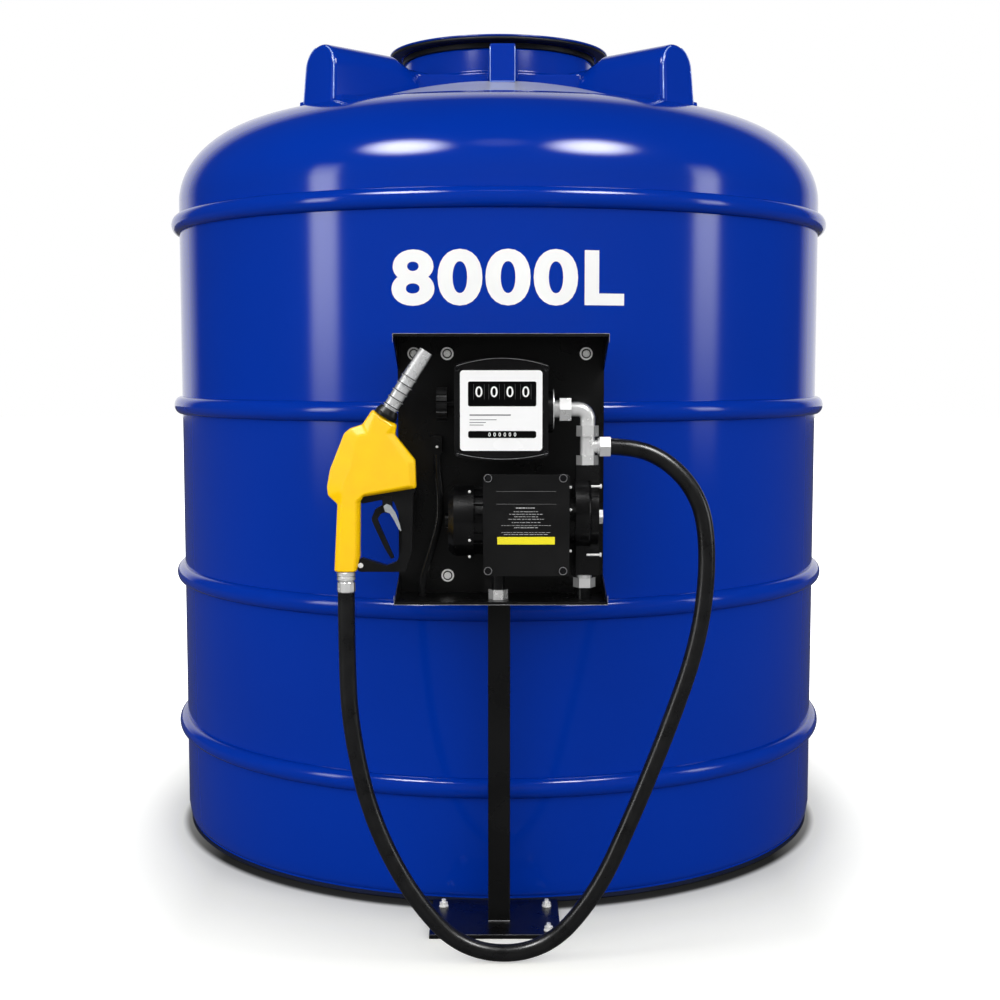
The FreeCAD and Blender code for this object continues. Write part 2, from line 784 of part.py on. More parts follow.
outlet_neck = rod("pipe_radius", port_low - outlet_low, spot(outlet_x, pump_y, outlet_low), UP)
pieces.append(shaped("outlet_union", joined(outlet_nut, outlet_neck)))
pieces.append(shaped("outlet_pipe", rod("pipe_radius", outlet_low - shelf_top,
                                        spot(outlet_x, pump_y, shelf_top), UP)))

# Motor with fins, end cap and switch box
FINS = 20
motor_z = num(motor_level)
motor_r = num(motor_radius)
motor_x = num(motor_left)
motor_long = num(motor_right) - motor_x
barrel = rod(motor_r, motor_long, Vector(motor_x, pump_y, motor_z), RIGHT)
fin_half = num("fin_width") / 2
fins = []
for i in range(FINS):
    rib = block(0, motor_long, -fin_half, fin_half, motor_r - 2, motor_r + num("fin_height"))
    rib.rotate(Vector(), RIGHT, 360 * i / FINS)
    rib.translate(Vector(motor_x, pump_y, motor_z))
    fins.append(rib)
box_left = motor_left + "box_inset"
box_right = motor_right - 1
box_low = motor_level + 1 - size("box_height") * 0.5
box_high = box_low + "box_height"
saddle_block = block(box_left + 5, box_right - 5, -box_back, pump_y, motor_z - 60, motor_z + 60)
adapter = rod("adapter_radius", head_left - motor_right, Vector(num(motor_right), pump_y, motor_z), RIGHT)
inlet_x = motor_left + "inlet_shift"
inlet_y = pump_y - num("inlet_forward")
boss = num("boss_half")
inlet_boss = block(inlet_x - boss, inlet_x + boss, inlet_y - boss, inlet_y + boss,
                   motor_z - motor_r - num("boss_drop"), motor_z - motor_r * 0.4)
feet = [block(x, x + 40, pump_y, -mount_front, motor_z - 50, motor_z + 50)
        for x in (motor_left + 23, motor_right - 57)]
pieces.append(shaped("motor_body", joined(barrel, saddle_block, adapter, inlet_boss, *fins, *feet)))
cap_radius = size("head_radius") + "cap_step"
pieces.append(turned("motor_end_cap", [
    (0, 0), ("cap_hub", 0), ("cap_hub", "cap_boss"), (cap_radius - "cap_bevel", "cap_boss"),
    (cap_radius, size("cap_boss") + "cap_bevel"), (cap_radius, size("cap_boss") + "cap_length"),
    (0, size("cap_boss") + "cap_length")],
    motor_left - "cap_length" - "cap_boss", -motor_out, motor_level, ALONG_X))
pieces.append(box("terminal_box", box_left, box_right, -box_front, -box_back, box_low, box_high))
pieces.append(soften(pad("terminal_cover", "XZ_Plane",
                         [rectangle(box_right - box_left + size("cover_lip") * 2,
                                    size("box_height") + size("cover_lip") * 2)],
                         "cover_thick", (box_left + box_right) * 0.5, -box_front,
                         (box_low + box_high) * 0.5),
                     "Fillet", "cover_round", lambda e: e.BoundBox.YLength > 5))
cover_front = box_front + "cover_thick"
screws = []
edge = size("cover_screw_inset")
for x in (box_left + edge, box_right - edge):
    for z in (box_low + edge, box_high - edge):
        screws.append(rod("cover_screw", 4, spot(x, -cover_front, z), FRONT))
pieces.append(shaped("cover_screws", Part.makeCompound(screws)))
inlet_top = motor_level - motor_radius - "boss_drop"
inlet_low = shelf_top + (inlet_top - shelf_top) * 0.29
pieces.append(shaped("inlet_pipe", rod("inlet_radius", inlet_top - inlet_low,
                                       spot(inlet_x, inlet_y, inlet_low), UP)))
pieces.append(shaped("inlet_union", hexagon("inlet_across", inlet_low - shelf_top,
                                            spot(inlet_x, inlet_y, shelf_top), UP)))

# Power cable from its clip down to the shelf: across from the panel's edge, out from its face
clip_low = size("panel_low") + "clip_level"
CABLE = [
    (104.5, 24, 375), (104.5, 24, 325), (111.5, 28, 265), (110.5, 36, 200),
    (93.5, 48, 135), (71.5, 58, 70), (65.5, 62, 35), (65.5, 62, 3)]
cable_path = [(panel_left + x, -(panel_front + out), size("panel_low") + z)
              for x, out, z in CABLE]
cable_path[0] = (panel_left + "cable_start", -(panel_front + "cable_start_out"), clip_low)
cable_path[-1] = (panel_left + "cable_end", -(panel_front + "cable_end_out"), shelf_top)
pieces.append(shaped("power_cable", tube(cable_path, "cable_radius")))
clip_left = panel_left + "clip_inset"
clip = block(clip_left, clip_left + "clip_width", -(mount_front + "clip_depth"), -mount_front,
             clip_low, clip_low + "clip_height")
clip = clip.makeFillet(num("clip_round"), [e for e in clip.Edges if e.BoundBox.YLength > 20])
clip_head = rod(7, 5, spot(clip_left + size("clip_width") * 0.5,
                           -(mount_front + "clip_depth") + 1,
                           clip_low + size("clip_height") * 0.67), FRONT)
pieces.append(shaped("cable_clip", joined(clip, clip_head)))

# Hand nozzle, in its own side view: across from the hose's axis, up from the cover's lower end
nozzle_y = -num(nozzle_out)
origin = spot(nozzle_x, nozzle_y, nozzle_level)


def corner(x, z, off=0.0):
    """A point of the nozzle's side view, moved off its middle plane."""
    return origin + Vector(x, off, z)


def slab(points, half_width, radius):
    """A side-on outline with rounded corners, given thickness about the middle plane."""
    flat = [corner(x, z, num(half_width)) for x, z in points]
    edges = []
    ends = []
    for i, here in enumerate(flat):
        into = here - flat[i - 1]
        out = flat[(i + 1) % len(flat)] - here
        turn = into.getAngle(out)
        reach = min(radius * math.tan(turn / 2), 0.42 * into.Length, 0.42 * out.Length)
        bend = reach / math.tan(turn / 2)
        a = here - into.normalize() * reach
        b = here + out.normalize() * reach
        inward = ((a + b) * 0.5 - here).normalize()
        crown = here + inward * (bend / math.cos(turn / 2) - bend)
        edges.append(Part.Arc(a, crown, b).toShape())
        ends.append((a, b))
    for i, (a, _) in enumerate(ends):
        edges.append(Part.LineSegment(ends[i - 1][1], a).toShape())
    face = Part.Face(Part.Wire(Part.__sortEdges__(edges)))
    return face.extrude(Vector(0, -2 * num(half_width), 0))


def inset(points, distance, kept):
    """The outline drawn in by a distance, except along the edges that are kept."""
    result = []
    for i, here in enumerate(points):
        lines = []
        for j in (i - 1, i):
            a = points[j]
            b = points[(j + 1) % len(points)]
            length = math.hypot(b[0] - a[0], b[1] - a[1])
            side = ((b[1] - a[1]) / length, -(b[0] - a[0]) / length)
            move = 0 if j % len(points) in kept else distance
            lines.append((side, side[0] * a[0] + side[1] * a[1] + move))
        (p, u), (q, v) = lines
        cross = p[0] * q[1] - p[1] * q[0]
        result.append(((u * q[1] - v * p[1]) / cross, (p[0] * v - q[0] * u) / cross))
    return result


# Moulded cover: its outline drawn in towards both faces, throat and grip end kept square
lean = math.radians(num("spout_lean"))
tilt = Vector(math.sin(lean), 0, math.cos(lean))
throat = (101.5, 396)
lip_x = math.cos(lean) * num("throat_width") / 2
lip_z = math.sin(lean) * num("throat_width") / 2
COVER = [
    (throat[0] - lip_x, throat[1] + lip_z), (throat[0] + lip_x, throat[1] - lip_z),
    (128, 350), (179, 286), (181, 214), (44, 192), (39, 174), (37, 38), (28, 0),
    (-29, 0), (-20, 174), (-44, 196), (-46, 218), (-38, 262), (-1, 355), (14, 367), (45, 377)]
drawn = inset(COVER, num("grip_bevel"), (0, 8))
grip = num("grip_half")
core = grip - num("grip_bevel") * 0.85
layers = []
for points, off in ((drawn, -grip), (COVER, -core), (COVER, core), (drawn, grip)):
    ring = [corner(x, z, off) for x, z in points]
    layers.append(Part.makePolygon(ring + ring[:1]))
pieces.append(shaped("nozzle_body", Part.makeLoft(layers, True, True)))

# Collar and turned spout with five rings
neck_turn = Rotation(UP, tilt)
seat = corner(*throat)
pieces.append(turned("nozzle_collar", [
    (0, 0), ("collar_radius", 0), ("collar_radius", size("collar_height") * 0.4),
    (size("spout_radius") + 4, "collar_height"), (0, "collar_height")],
    seat.x, seat.y, seat.z, neck_turn))
base = seat + tilt * num("collar_height")
profile = [(0, 0), ("spout_radius", 0)]
ring_radius = size("spout_radius") + "spout_ring"
for i in range(5):
    z = size("spout_ring_gap") * (i + 0.15)
    profile += [("spout_radius", z), (ring_radius, z + 1), (ring_radius, z + 3),
                ("spout_radius", z + 4)]
bore = size("spout_radius") - "spout_wall"
bore_end = size("spout_length") - "spout_bore"
profile += [("spout_radius", "spout_length"), (bore, "spout_length"), (bore, bore_end),
            (0, bore_end)]
pieces.append(turned("nozzle_spout", profile, base.x, base.y, base.z, neck_turn))

# Guard with its open finger gap and two ears for the lever's pin
hub = corner(107, 163)
GUARD = [
    (44, 192), (181, 214), (173, 198), (170, 56), (153, 0), (28, 0), (37, 38), (104, 16),
    (131, 26), (143, 56), (144, 105), (135, 153), (124, 181), (90, 184), (39, 174)]
guard = slab(GUARD, "guard_half", 9)
ear_in = num("lever_half") + num("ear_gap")
ear_out = ear_in + num("ear_thick")
ears = []
for side_y in (-ear_out, ear_in):
    ears.append(rod(12, "ear_thick", hub + Vector(0, side_y, 0), BACK))
    ears.append(block(hub.x - 12, hub.x + 12, hub.y + side_y, hub.y + side_y + num("ear_thick"),
                      hub.z, hub.z + 30))
bearing = rod(size("pin_radius") + "pin_play", 60, hub - BACK * 30, BACK)
inner_cover = Part.Face(layers[1]).extrude(Vector(0, 2 * core, 0))
guard = joined(guard, *ears).cut([bearing, inner_cover])
pieces.append(shaped("nozzle_guard", guard))

# Strap-like lever on the pin, and the latch blade that carries the pin
LEVER = [
    (107, 172), (115, 167), (114, 157), (91, 149), (81, 135), (90, 113), (115, 56), (124, 35),
    (116, 33), (100, 59), (76, 111), (66, 135), (76, 160), (92, 170)]
lever_half = num("lever_half")
lever = joined(slab(LEVER, lever_half, 8), rod(9, 2 * lever_half, hub - BACK * lever_half, BACK))
pieces.append(shaped("nozzle_trigger", lever.cut(bearing)))
LATCH = [
    (98, 169), (106, 175), (116, 171), (128, 153), (138, 127), (144, 103), (136, 111),
    (126, 131), (114, 151), (102, 155)]
latch_y = -ear_out - num("latch_thick")
blade = slab(LATCH, size("latch_thick") * 0.5, 4)
blade.translate(Vector(0, latch_y + num("latch_thick") / 2, 0))
pin = rod("pin_radius", 2 * ear_out + num("latch_thick"), hub + BACK * latch_y, BACK)
pieces.append(shaped("nozzle_latch", joined(blade, pin)))

# Swivel between the grip and the hose
swivel_low = nozzle_level - "swivel_ring" - "swivel_nut"
swivel_foot = spot(nozzle_x, nozzle_y, swivel_low)
swivel_nut = hexagon("swivel_across", "swivel_nut", swivel_foot, UP)
swivel_ring = rod("swivel_radius", "swivel_ring", swivel_foot + UP * num("swivel_nut"), UP)
pieces.append(shaped("nozzle_swivel", joined(swivel_nut, swivel_ring)))

# Folded holder on the panel's left edge that carries the nozzle from behind
rest_y = nozzle_y + grip
holder_low = size("panel_low") + "holder_level"
holder_high = holder_low + "holder_height"
holder_x = panel_left + "holder_inset"
foot_plate = block(holder_x, holder_x + "holder_foot", back_y - thick, back_y, holder_low, holder_high)
web = block(holder_x, holder_x + thick, rest_y, back_y, holder_low, holder_high)
rest = block(holder_x + thick - size("holder_reach"), holder_x + thick, rest_y, rest_y + thick,
             holder_low, holder_high)
pieces.append(shaped("nozzle_holder", joined(foot_plate, web, rest)))

# Dispensing hose: across, out from the panel's face, up from the floor
HOSE = [
    (262, 92, 1314), (350, 92, 1314), (434, 98, 1279), (500, 108, 1213), (536, 120, 1125),
    (540, 138, 975), (512, 160, 800), (440, 187, 600), (345, 214, 372), (250, 236, 168),
    (115, 249, 23), (-85, 249, 23), (-225, 234, 168), (-330, 208, 372), (-381, 184, 600),
    (-390, 162, 790), (-390, 162, 943)]
hose_path = [(x, -(panel_front + out), z) for x, out, z in HOSE]
hose_path[0] = (ferrule_start, -line_out, tee_axis)
hose_path[1] = (ferrule_start + "hose_start", -line_out, tee_axis)
hose_path[-2] = (nozzle_x, -nozzle_out, swivel_low - "hose_end")
hose_path[-1] = (nozzle_x, -nozzle_out, swivel_low)
pieces.append(shaped("dispensing_hose", tube(hose_path, "hose_radius")))

doc.recompute()
bad = []
os.makedirs("parts", exist_ok=True)
for item in doc.Objects:
    if "Invalid" in item.State or "Error" in item.State:
        bad.append(item.Name)
for item in pieces:
    if item.Shape.isNull() or not item.Shape.isValid():
        bad.append(item.Label)
if bad:
    raise SystemExit("broken: " + ", ".join(bad))
for item in pieces:
    item.Shape.exportStep("parts/%s.step" % item.Label)
for item in pieces:
    b = item.Shape.BoundBox
    print("%-18s solids %d vol %.0f cm3 x %.0f %.0f y %.0f %.0f z %.0f %.0f" % (
        item.Label, len(item.Shape.Solids), item.Shape.Volume / 1000.0, b.XMin, b.XMax,
        b.YMin, b.YMax, b.ZMin, b.ZMax))
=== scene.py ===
"""Looks of an above-ground diesel tank with its pump stand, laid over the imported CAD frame."""
import logging
import math
import random
from dataclasses import dataclass
from enum import Enum

import bmesh
import bpy
from mathutils import Matrix, Vector


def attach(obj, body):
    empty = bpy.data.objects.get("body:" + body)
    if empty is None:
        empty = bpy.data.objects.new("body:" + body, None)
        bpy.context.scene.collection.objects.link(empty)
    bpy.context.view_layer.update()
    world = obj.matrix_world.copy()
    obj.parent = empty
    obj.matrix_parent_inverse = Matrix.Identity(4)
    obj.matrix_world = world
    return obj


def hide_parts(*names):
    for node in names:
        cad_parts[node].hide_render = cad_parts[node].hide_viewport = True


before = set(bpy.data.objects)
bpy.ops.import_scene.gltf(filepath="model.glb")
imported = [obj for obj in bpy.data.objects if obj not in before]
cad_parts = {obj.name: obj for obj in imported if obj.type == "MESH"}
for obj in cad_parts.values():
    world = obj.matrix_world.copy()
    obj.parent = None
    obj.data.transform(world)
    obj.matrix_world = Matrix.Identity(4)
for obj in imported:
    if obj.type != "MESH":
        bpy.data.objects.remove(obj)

log = logging.getLogger("diesel_tank")

Point = tuple[float, float]
Triple = tuple[float, float, float]

FIXED = "tank_and_stand"


class Slot(Enum):
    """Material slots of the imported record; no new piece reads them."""

    TANK = "tank_blue"
    SEAL = "seal_rubber"
    SHEET = "black_paint"
    BOLT = "bolt_steel"
    CASTING = "meter_black"
    PLASTIC = "black_plastic"
    DIAL = "face_white"
    NICKEL = "bright_nickel"
    ALLOY = "spout_metal"
    COVER = "nozzle_yellow"
    HOSE = "hose_rubber"


class Body(Enum):
    """Bodies of the frame that new pieces ride on."""

    STAND = FIXED
    LID = "lid"


def linear(hex_colour: str) -> tuple[float, float, float, float]:
    """Turns an sRGB hex value into linear colour.

    Args:
        hex_colour: six hex digits, such as "1A2B3C".

    Returns:
        Red, green, blue and alpha in linear light.
    """
    parts = [int(hex_colour[i:i + 2], 16) / 255 for i in (0, 2, 4)]
    red, green, blue = (c / 12.92 if c <= 0.04045 else ((c + 0.055) / 1.055) ** 2.4
                        for c in parts)
    return red, green, blue, 1.0


def per_metre(millimetres: float) -> float:
    """Gives a texture scale whose features are that many millimetres apart."""
    return 1000.0 / millimetres


def add_node(tree: bpy.types.NodeTree, kind: str, values: dict | None = None,
             links: dict | None = None, **settings) -> bpy.types.Node:
    """Adds a node with its settings, input values and incoming links.

    Args:
        tree: the node tree it goes into.
        kind: Blender's name of the node type.
        values: socket name or index to its plain value.
        links: socket name or index to the socket that feeds it.
        settings: properties of the node itself.

    Returns:
        The new node.
    """
    node = tree.nodes.new(kind)
    for key, value in settings.items():
        setattr(node, key, value)
    for name, value in (values or {}).items():
        node.inputs[name].default_value = value
    for name, source in (links or {}).items():
        tree.links.new(source, node.inputs[name])
    return node


def ramp(tree: bpy.types.NodeTree, value: bpy.types.NodeSocket, start: float, end: float,
         low: float = 0.0, high: float = 1.0, soft: bool = True) -> bpy.types.NodeSocket:
    """Maps a value from one range to another and holds it there.

    Args:
        tree: the node tree it goes into.
        value: the socket to map.
        start: value that gives the low end.
        end: value that gives the high end.
        low: result at the start.
        high: result at the end.
        soft: whether it eases in and out instead of running straight.

    Returns:
        The socket that carries the result.
    """
    node = add_node(tree, "ShaderNodeMapRange",
                    {"From Min": start, "From Max": end, "To Min": low, "To Max": high},
                    {"Value": value}, interpolation_type="SMOOTHSTEP" if soft else "LINEAR")
    return node.outputs[0]


def reckon(tree: bpy.types.NodeTree, operation: str, first: bpy.types.NodeSocket,
           second: bpy.types.NodeSocket | float | None = None) -> bpy.types.NodeSocket:
    """Works out one sum of a socket with another socket or a number, if it takes a second."""
    plain = {1: second} if isinstance(second, float) else {}
    links = {0: first} if plain or second is None else {0: first, 1: second}
    return add_node(tree, "ShaderNodeMath", plain, links, operation=operation).outputs[0]


def lay_over(tree: bpy.types.NodeTree, colour: bpy.types.NodeSocket, painted_tone: str,
             share: bpy.types.NodeSocket) -> bpy.types.NodeSocket:
    """Mixes a plain colour over another by a share."""
    mix = add_node(tree, "ShaderNodeMix", {7: linear(painted_tone)}, {0: share, 6: colour},
                   data_type="RGBA")
    return mix.outputs[2]


@dataclass(frozen=True)
class Finish:
    """A surface whose colour and gloss vary a little, with a fine relief."""

    name: str
    colour: str
    shade: str
    roughness: float
    metallic: float = 0.0
    mottle_mm: float = 180.0
    grain_mm: float = 4.0
    relief: float = 0.05
    relief_mm: float = 0.3
    gloss_spread: float = 0.06
    coat: float = 0.0
    coat_roughness: float = 0.08
    ior: float = 1.5
    specular: float = 0.5

    def height(self, tree: bpy.types.NodeTree,
               place: bpy.types.NodeSocket) -> bpy.types.NodeSocket:
        """Gives the relief's height, a fine noise unless a finish has its own pattern.

        Args:
            tree: the material's node tree.
            place: coordinates on the piece in metres.

        Returns:
            The socket that carries the height.
        """
        grain = add_node(tree, "ShaderNodeTexNoise",
                         {"Scale": per_metre(self.grain_mm), "Detail": 3.0}, {"Vector": place})
        return grain.outputs["Fac"]

    def tint(self, tree: bpy.types.NodeTree, place: bpy.types.NodeSocket,
             colour: bpy.types.NodeSocket) -> bpy.types.NodeSocket:
        """Gives the colour that reaches the shader; a finish may lay its own marks over it."""
        return colour

    def material(self) -> bpy.types.Material:
        """Builds the node material once and gives it again on later calls.

        Returns:
            The material of this finish.
        """
        found = bpy.data.materials.get(self.name)
        if found is not None:
            return found
        material = bpy.data.materials.new(self.name)
        material.use_nodes = True
        tree = material.node_tree
        tree.nodes.clear()
        place = add_node(tree, "ShaderNodeTexCoord").outputs["Object"]
        mottle = add_node(tree, "ShaderNodeTexNoise",
                          {"Scale": per_metre(self.mottle_mm), "Detail": 4.0},
                          {"Vector": place})
        patches = ramp(tree, mottle.outputs["Fac"], 0.3, 0.7, soft=False)
        colour = add_node(tree, "ShaderNodeMix",
                          {6: linear(self.colour), 7: linear(self.shade)}, {0: patches},
                          data_type="RGBA")
        gloss = ramp(tree, mottle.outputs["Fac"], 0.3, 0.7,
                     max(0.02, self.roughness - self.gloss_spread),
                     min(1.0, self.roughness + self.gloss_spread), soft=False)
        bump = add_node(tree, "ShaderNodeBump",
                        {"Strength": self.relief, "Distance": self.relief_mm / 1000},
                        {"Height": self.height(tree, place)})
        shader = add_node(tree, "ShaderNodeBsdfPrincipled",
                          {"Metallic": self.metallic, "IOR": self.ior,
                           "Specular IOR Level": self.specular, "Coat Weight": self.coat,
                           "Coat Roughness": self.coat_roughness},
                          {"Base Color": self.tint(tree, place, colour.outputs[2]),
                           "Roughness": gloss, "Normal": bump.outputs[0]})
        add_node(tree, "ShaderNodeOutputMaterial", links={"Surface": shader.outputs[0]})
        return material


@dataclass(frozen=True)
class BrightMetalFinish(Finish):
    """Bright metal in a dark room, with a painted reflection: white where it faces the eye, dark
    where it turns away.
    """

    # Colour of the painted reflection where the surface turns away
    dark: str = "505357"

    def tint(self, tree: bpy.types.NodeTree, place: bpy.types.NodeSocket,
             colour: bpy.types.NodeSocket) -> bpy.types.NodeSocket:
        """Darkens the colour towards the edges of round and slanted surfaces: painted reflection.
        """
        facing = add_node(tree, "ShaderNodeLayerWeight", {"Blend": 0.5}).outputs["Facing"]
        return lay_over(tree, colour, self.dark, ramp(tree, facing, 0.15, 0.75, high=0.85))


@dataclass(frozen=True)
class TurnedFinish(BrightMetalFinish):
    """Metal turned on a lathe: fine rings across one axis of the piece."""

    axis: Triple = (0.0, 0.0, 1.0)
    ring_mm: float = 2.5

    def height(self, tree: bpy.types.NodeTree,
               place: bpy.types.NodeSocket) -> bpy.types.NodeSocket:
        """Gives a wave along the turning axis; drawn coarser than real tool marks so it shows."""
        along = add_node(tree, "ShaderNodeVectorMath", {1: self.axis}, {0: place},
                         operation="DOT_PRODUCT")
        scaled = reckon(tree, "MULTIPLY", along.outputs["Value"],
                        2 * math.pi * per_metre(self.ring_mm))
        return reckon(tree, "SINE", scaled)


@dataclass(frozen=True)
class MouldedTankFinish(Finish):
    """Rotomoulded polyethylene: a long slight ripple under a fine grain."""

    ripple_mm: float = 260.0

    def height(self, tree: bpy.types.NodeTree,
               place: bpy.types.NodeSocket) -> bpy.types.NodeSocket:
        """Gives a long soft ripple with a little fine grain on it."""
        ripple = add_node(tree, "ShaderNodeTexNoise",
                          {"Scale": per_metre(self.ripple_mm), "Detail": 1.0}, {"Vector": place})
        grain = add_node(tree, "ShaderNodeTexNoise",
                         {"Scale": per_metre(self.grain_mm), "Detail": 2.0}, {"Vector": place})
        faint = reckon(tree, "MULTIPLY", grain.outputs["Fac"], 0.02)
        return reckon(tree, "ADD", ripple.outputs["Fac"], faint)


@dataclass(frozen=True)
class PaintedSheenCrownFinish(MouldedTankFinish):
    """Moulded roof with a painted sheen on its crown that shows only at a flat angle."""

    painted_tone: str = "F2F6FF"
    crown_mm: float = 694.0
    edge_mm: float = 9.0

    def tint(self, tree: bpy.types.NodeTree, place: bpy.types.NodeSocket,
             colour: bpy.types.NodeSocket) -> bpy.types.NodeSocket:
        """Lays the painted sheen over the colour inside the crown's circle, stronger at flat
        angles.
        """
        flat = add_node(tree, "ShaderNodeVectorMath", {1: (1.0, 1.0, 0.0)}, {0: place},
                        operation="MULTIPLY")
        away = add_node(tree, "ShaderNodeVectorMath", links={0: flat.outputs[0]},
                        operation="LENGTH")
        inside = ramp(tree, away.outputs["Value"], self.crown_mm / 1000,
                      (self.crown_mm - self.edge_mm) / 1000, soft=False)
        facing = add_node(tree, "ShaderNodeLayerWeight", {"Blend": 0.5}).outputs["Facing"]
        share = reckon(tree, "MULTIPLY", inside, ramp(tree, facing, 0.7, 0.95))
        return lay_over(tree, colour, self.painted_tone, share)


# Rotomoulded polyethylene, dyed through: deep blue with a polished skin that mirrors softly
TANK_BLUE = MouldedTankFinish("rotomoulded_polyethylene_blue", "00309E", "002D97", 0.11,
                              grain_mm=6.0, relief=0.12, relief_mm=1.2, gloss_spread=0.02,
                              mottle_mm=700.0, specular=0.3)
# The same skin on the roof, with a painted sheen on its crown
TANK_CROWN = PaintedSheenCrownFinish("rotomoulded_polyethylene_painted_sheen", "00309E", "002D97", 0.11,
                               grain_mm=6.0, relief=0.12, relief_mm=1.2, gloss_spread=0.02,
                               mottle_mm=700.0, specular=0.3)
# Pale blue lines on the lugs' and the tab's edges: painted highlights
TANK_HIGHLIGHT = Finish("polyethylene_painted_highlight", "8FA8E6", "6A8AD8", 0.25, grain_mm=8.0,
                     relief=0.05, relief_mm=0.5, mottle_mm=40.0, specular=0.6)
# The lid's own moulding: the same blue, darker
LID_BLUE = MouldedTankFinish("rotomoulded_polyethylene_lid", "002C8C", "002984", 0.14,
                             grain_mm=6.0, relief=0.1, relief_mm=1.0, gloss_spread=0.02,
                             mottle_mm=500.0, specular=0.4)
# The tank's underside edge: scuffed polyethylene, its near-black colour painted shade
FOOT_SHADE = Finish("rotomoulded_polyethylene_painted_shade", "0B1430", "101A38", 0.7, grain_mm=8.0,
                    relief=0.3, relief_mm=0.8, specular=0.2)
# White ink screened on the wall: flat and slightly chalky
MARK_WHITE = Finish("screen_ink_white", "F6F6F4", "EDEDEC", 0.45, grain_mm=3.0, relief=0.05)
# Nitrile rubber of the lid seal: dark with a dusty sheen
SEAL_RUBBER = Finish("nitrile_rubber_seal", "080809", "0E0E0F", 0.5, grain_mm=5.0, relief=0.2,
                     specular=0.3)
# Polyester powder coat on folded steel: satin black with a fine orange peel
POWDER_BLACK = Finish("powder_coat_satin_black", "060606", "0B0B0C", 0.3, grain_mm=3.2,
                      relief=0.12, relief_mm=0.25, gloss_spread=0.08, mottle_mm=140.0,
                      specular=0.5)
# The same coat on the foot plate, glossier under the hose
POWDER_GLOSS = Finish("powder_coat_gloss_black", "050505", "090909", 0.3, grain_mm=3.5,
                      relief=0.12, relief_mm=0.25, gloss_spread=0.06, mottle_mm=90.0)
# Stove enamel over die-cast aluminium: black with a slightly pebbled casting skin
CAST_BLACK = Finish("enamelled_casting_black", "060607", "0B0B0C", 0.24, grain_mm=4.0,
                    relief=0.15, relief_mm=0.3, gloss_spread=0.06, mottle_mm=60.0,
                    specular=0.6)
# Glass-filled nylon: black moulding with an even matt grain
NYLON_BLACK = Finish("glass_filled_nylon_black", "0A0A0B", "0F0F10", 0.36, grain_mm=2.6,
                     relief=0.22, relief_mm=0.2, gloss_spread=0.05, mottle_mm=40.0,
                     specular=0.4)
# Smooth ABS cover over the switch box: flat black that mirrors softly
ABS_BLACK = Finish("smooth_abs_black", "0A0A0B", "0E0E0F", 0.34, grain_mm=3.0, relief=0.1,
                   relief_mm=0.2, gloss_spread=0.05, mottle_mm=80.0, specular=0.5)
# White baked enamel of the meter's face
DIAL_WHITE = Finish("baked_enamel_white", "F6F6F6", "F2F2F2", 0.25, grain_mm=5.0, relief=0.03)
# Dark glass of the counter windows
WINDOW_BLACK = Finish("counter_glass_dark", "040405", "060607", 0.12, grain_mm=8.0, relief=0.01)
# Pale grey lines along folds, rims and edges: painted highlights
HIGHLIGHT_GREY = Finish("painted_highlight_grey", "A0A0A2", "707072", 0.35, grain_mm=6.0, relief=0.1,
                   relief_mm=0.1, mottle_mm=30.0, specular=0.6)
# Faint drum frames behind the counter's glass
FRAME_GREY = Finish("drum_frame_grey", "4A4A4B", "3E3E3F", 0.5, grain_mm=2.0, relief=0.02)
# Dark printed rules on the white face
RULE_DARK = Finish("pad_print_dark", "48484A", "545456", 0.5, grain_mm=2.0, relief=0.02)
# Pale printed rules on the switch box
PRINT_PALE = Finish("pad_print_pale", "B8B8B8", "A4A4A4", 0.5, grain_mm=2.0, relief=0.02)
# Printed digits on the counter drums
DIGIT_WHITE = Finish("drum_print_white", "F2F2F0", "E6E6E4", 0.5, grain_mm=2.0, relief=0.02)
# Thin printed rules on the switch box
RULE_GREY = Finish("pad_print_grey", "6E6E6E", "626262", 0.5, grain_mm=2.0, relief=0.02)
# Yellow vinyl strip on the switch box
STRIP_YELLOW = Finish("vinyl_strip_yellow", "F2E400", "E6D800", 0.35, grain_mm=4.0, relief=0.04)
# Nickel on brass: warm bright metal with soft casting waves, its edges darkened by painted
# reflection
NICKEL = BrightMetalFinish("nickel_plated_brass", "FFFFFF", "F6F6F5", 0.24, metallic=0.5,
                           grain_mm=7.0, relief=0.04, relief_mm=0.3, gloss_spread=0.05,
                           mottle_mm=25.0)
# Turned aluminium of the spout: bright with fine rings, its edges darkened by painted reflection
SPOUT_ALLOY = TurnedFinish("turned_aluminium", "FFFFFF", "F6F7F8", 0.26, metallic=0.55,
                           relief=0.03, relief_mm=0.1, gloss_spread=0.04, mottle_mm=30.0,
                           axis=(0.530, 0.0, 0.848))
# Zinc on steel screws: pale grey and a little dull
ZINC = Finish("zinc_plated_steel", "FAFAF8", "E8E8E6", 0.3, metallic=0.2, grain_mm=3.0,
              relief=0.15, relief_mm=0.2, gloss_spread=0.08, mottle_mm=8.0)
# Blackened steel of the cover screws and anchor bolts, also the spout's bands of painted shade
BLACK_STEEL = Finish("blackened_steel", "1A1A1C", "29292B", 0.32, metallic=0.6, grain_mm=3.0,
                     relief=0.15, relief_mm=0.2, mottle_mm=10.0)
# Grey steel of the rings on the switch box's screw collars: painted highlight
COLLAR_HIGHLIGHT_GREY = Finish("collar_painted_highlight", "8A8A8C", "6E6E70", 0.3, metallic=0.3, grain_mm=3.0,
                      relief=0.15, relief_mm=0.2, mottle_mm=8.0)
# Yellow polypropylene cover: soft gloss, rich colour
COVER_YELLOW = Finish("moulded_polypropylene_yellow", "FFCE00", "FFC700", 0.25, grain_mm=3.0,
                      relief=0.05, relief_mm=0.2, gloss_spread=0.03, mottle_mm=70.0,
                      specular=0.4)
# Nitrile hose: black rubber with a satin skin
HOSE_RUBBER = Finish("nitrile_hose_black", "0E0E0F", "151516", 0.3, grain_mm=3.0, relief=0.12,
                     relief_mm=0.3, gloss_spread=0.06, mottle_mm=45.0)
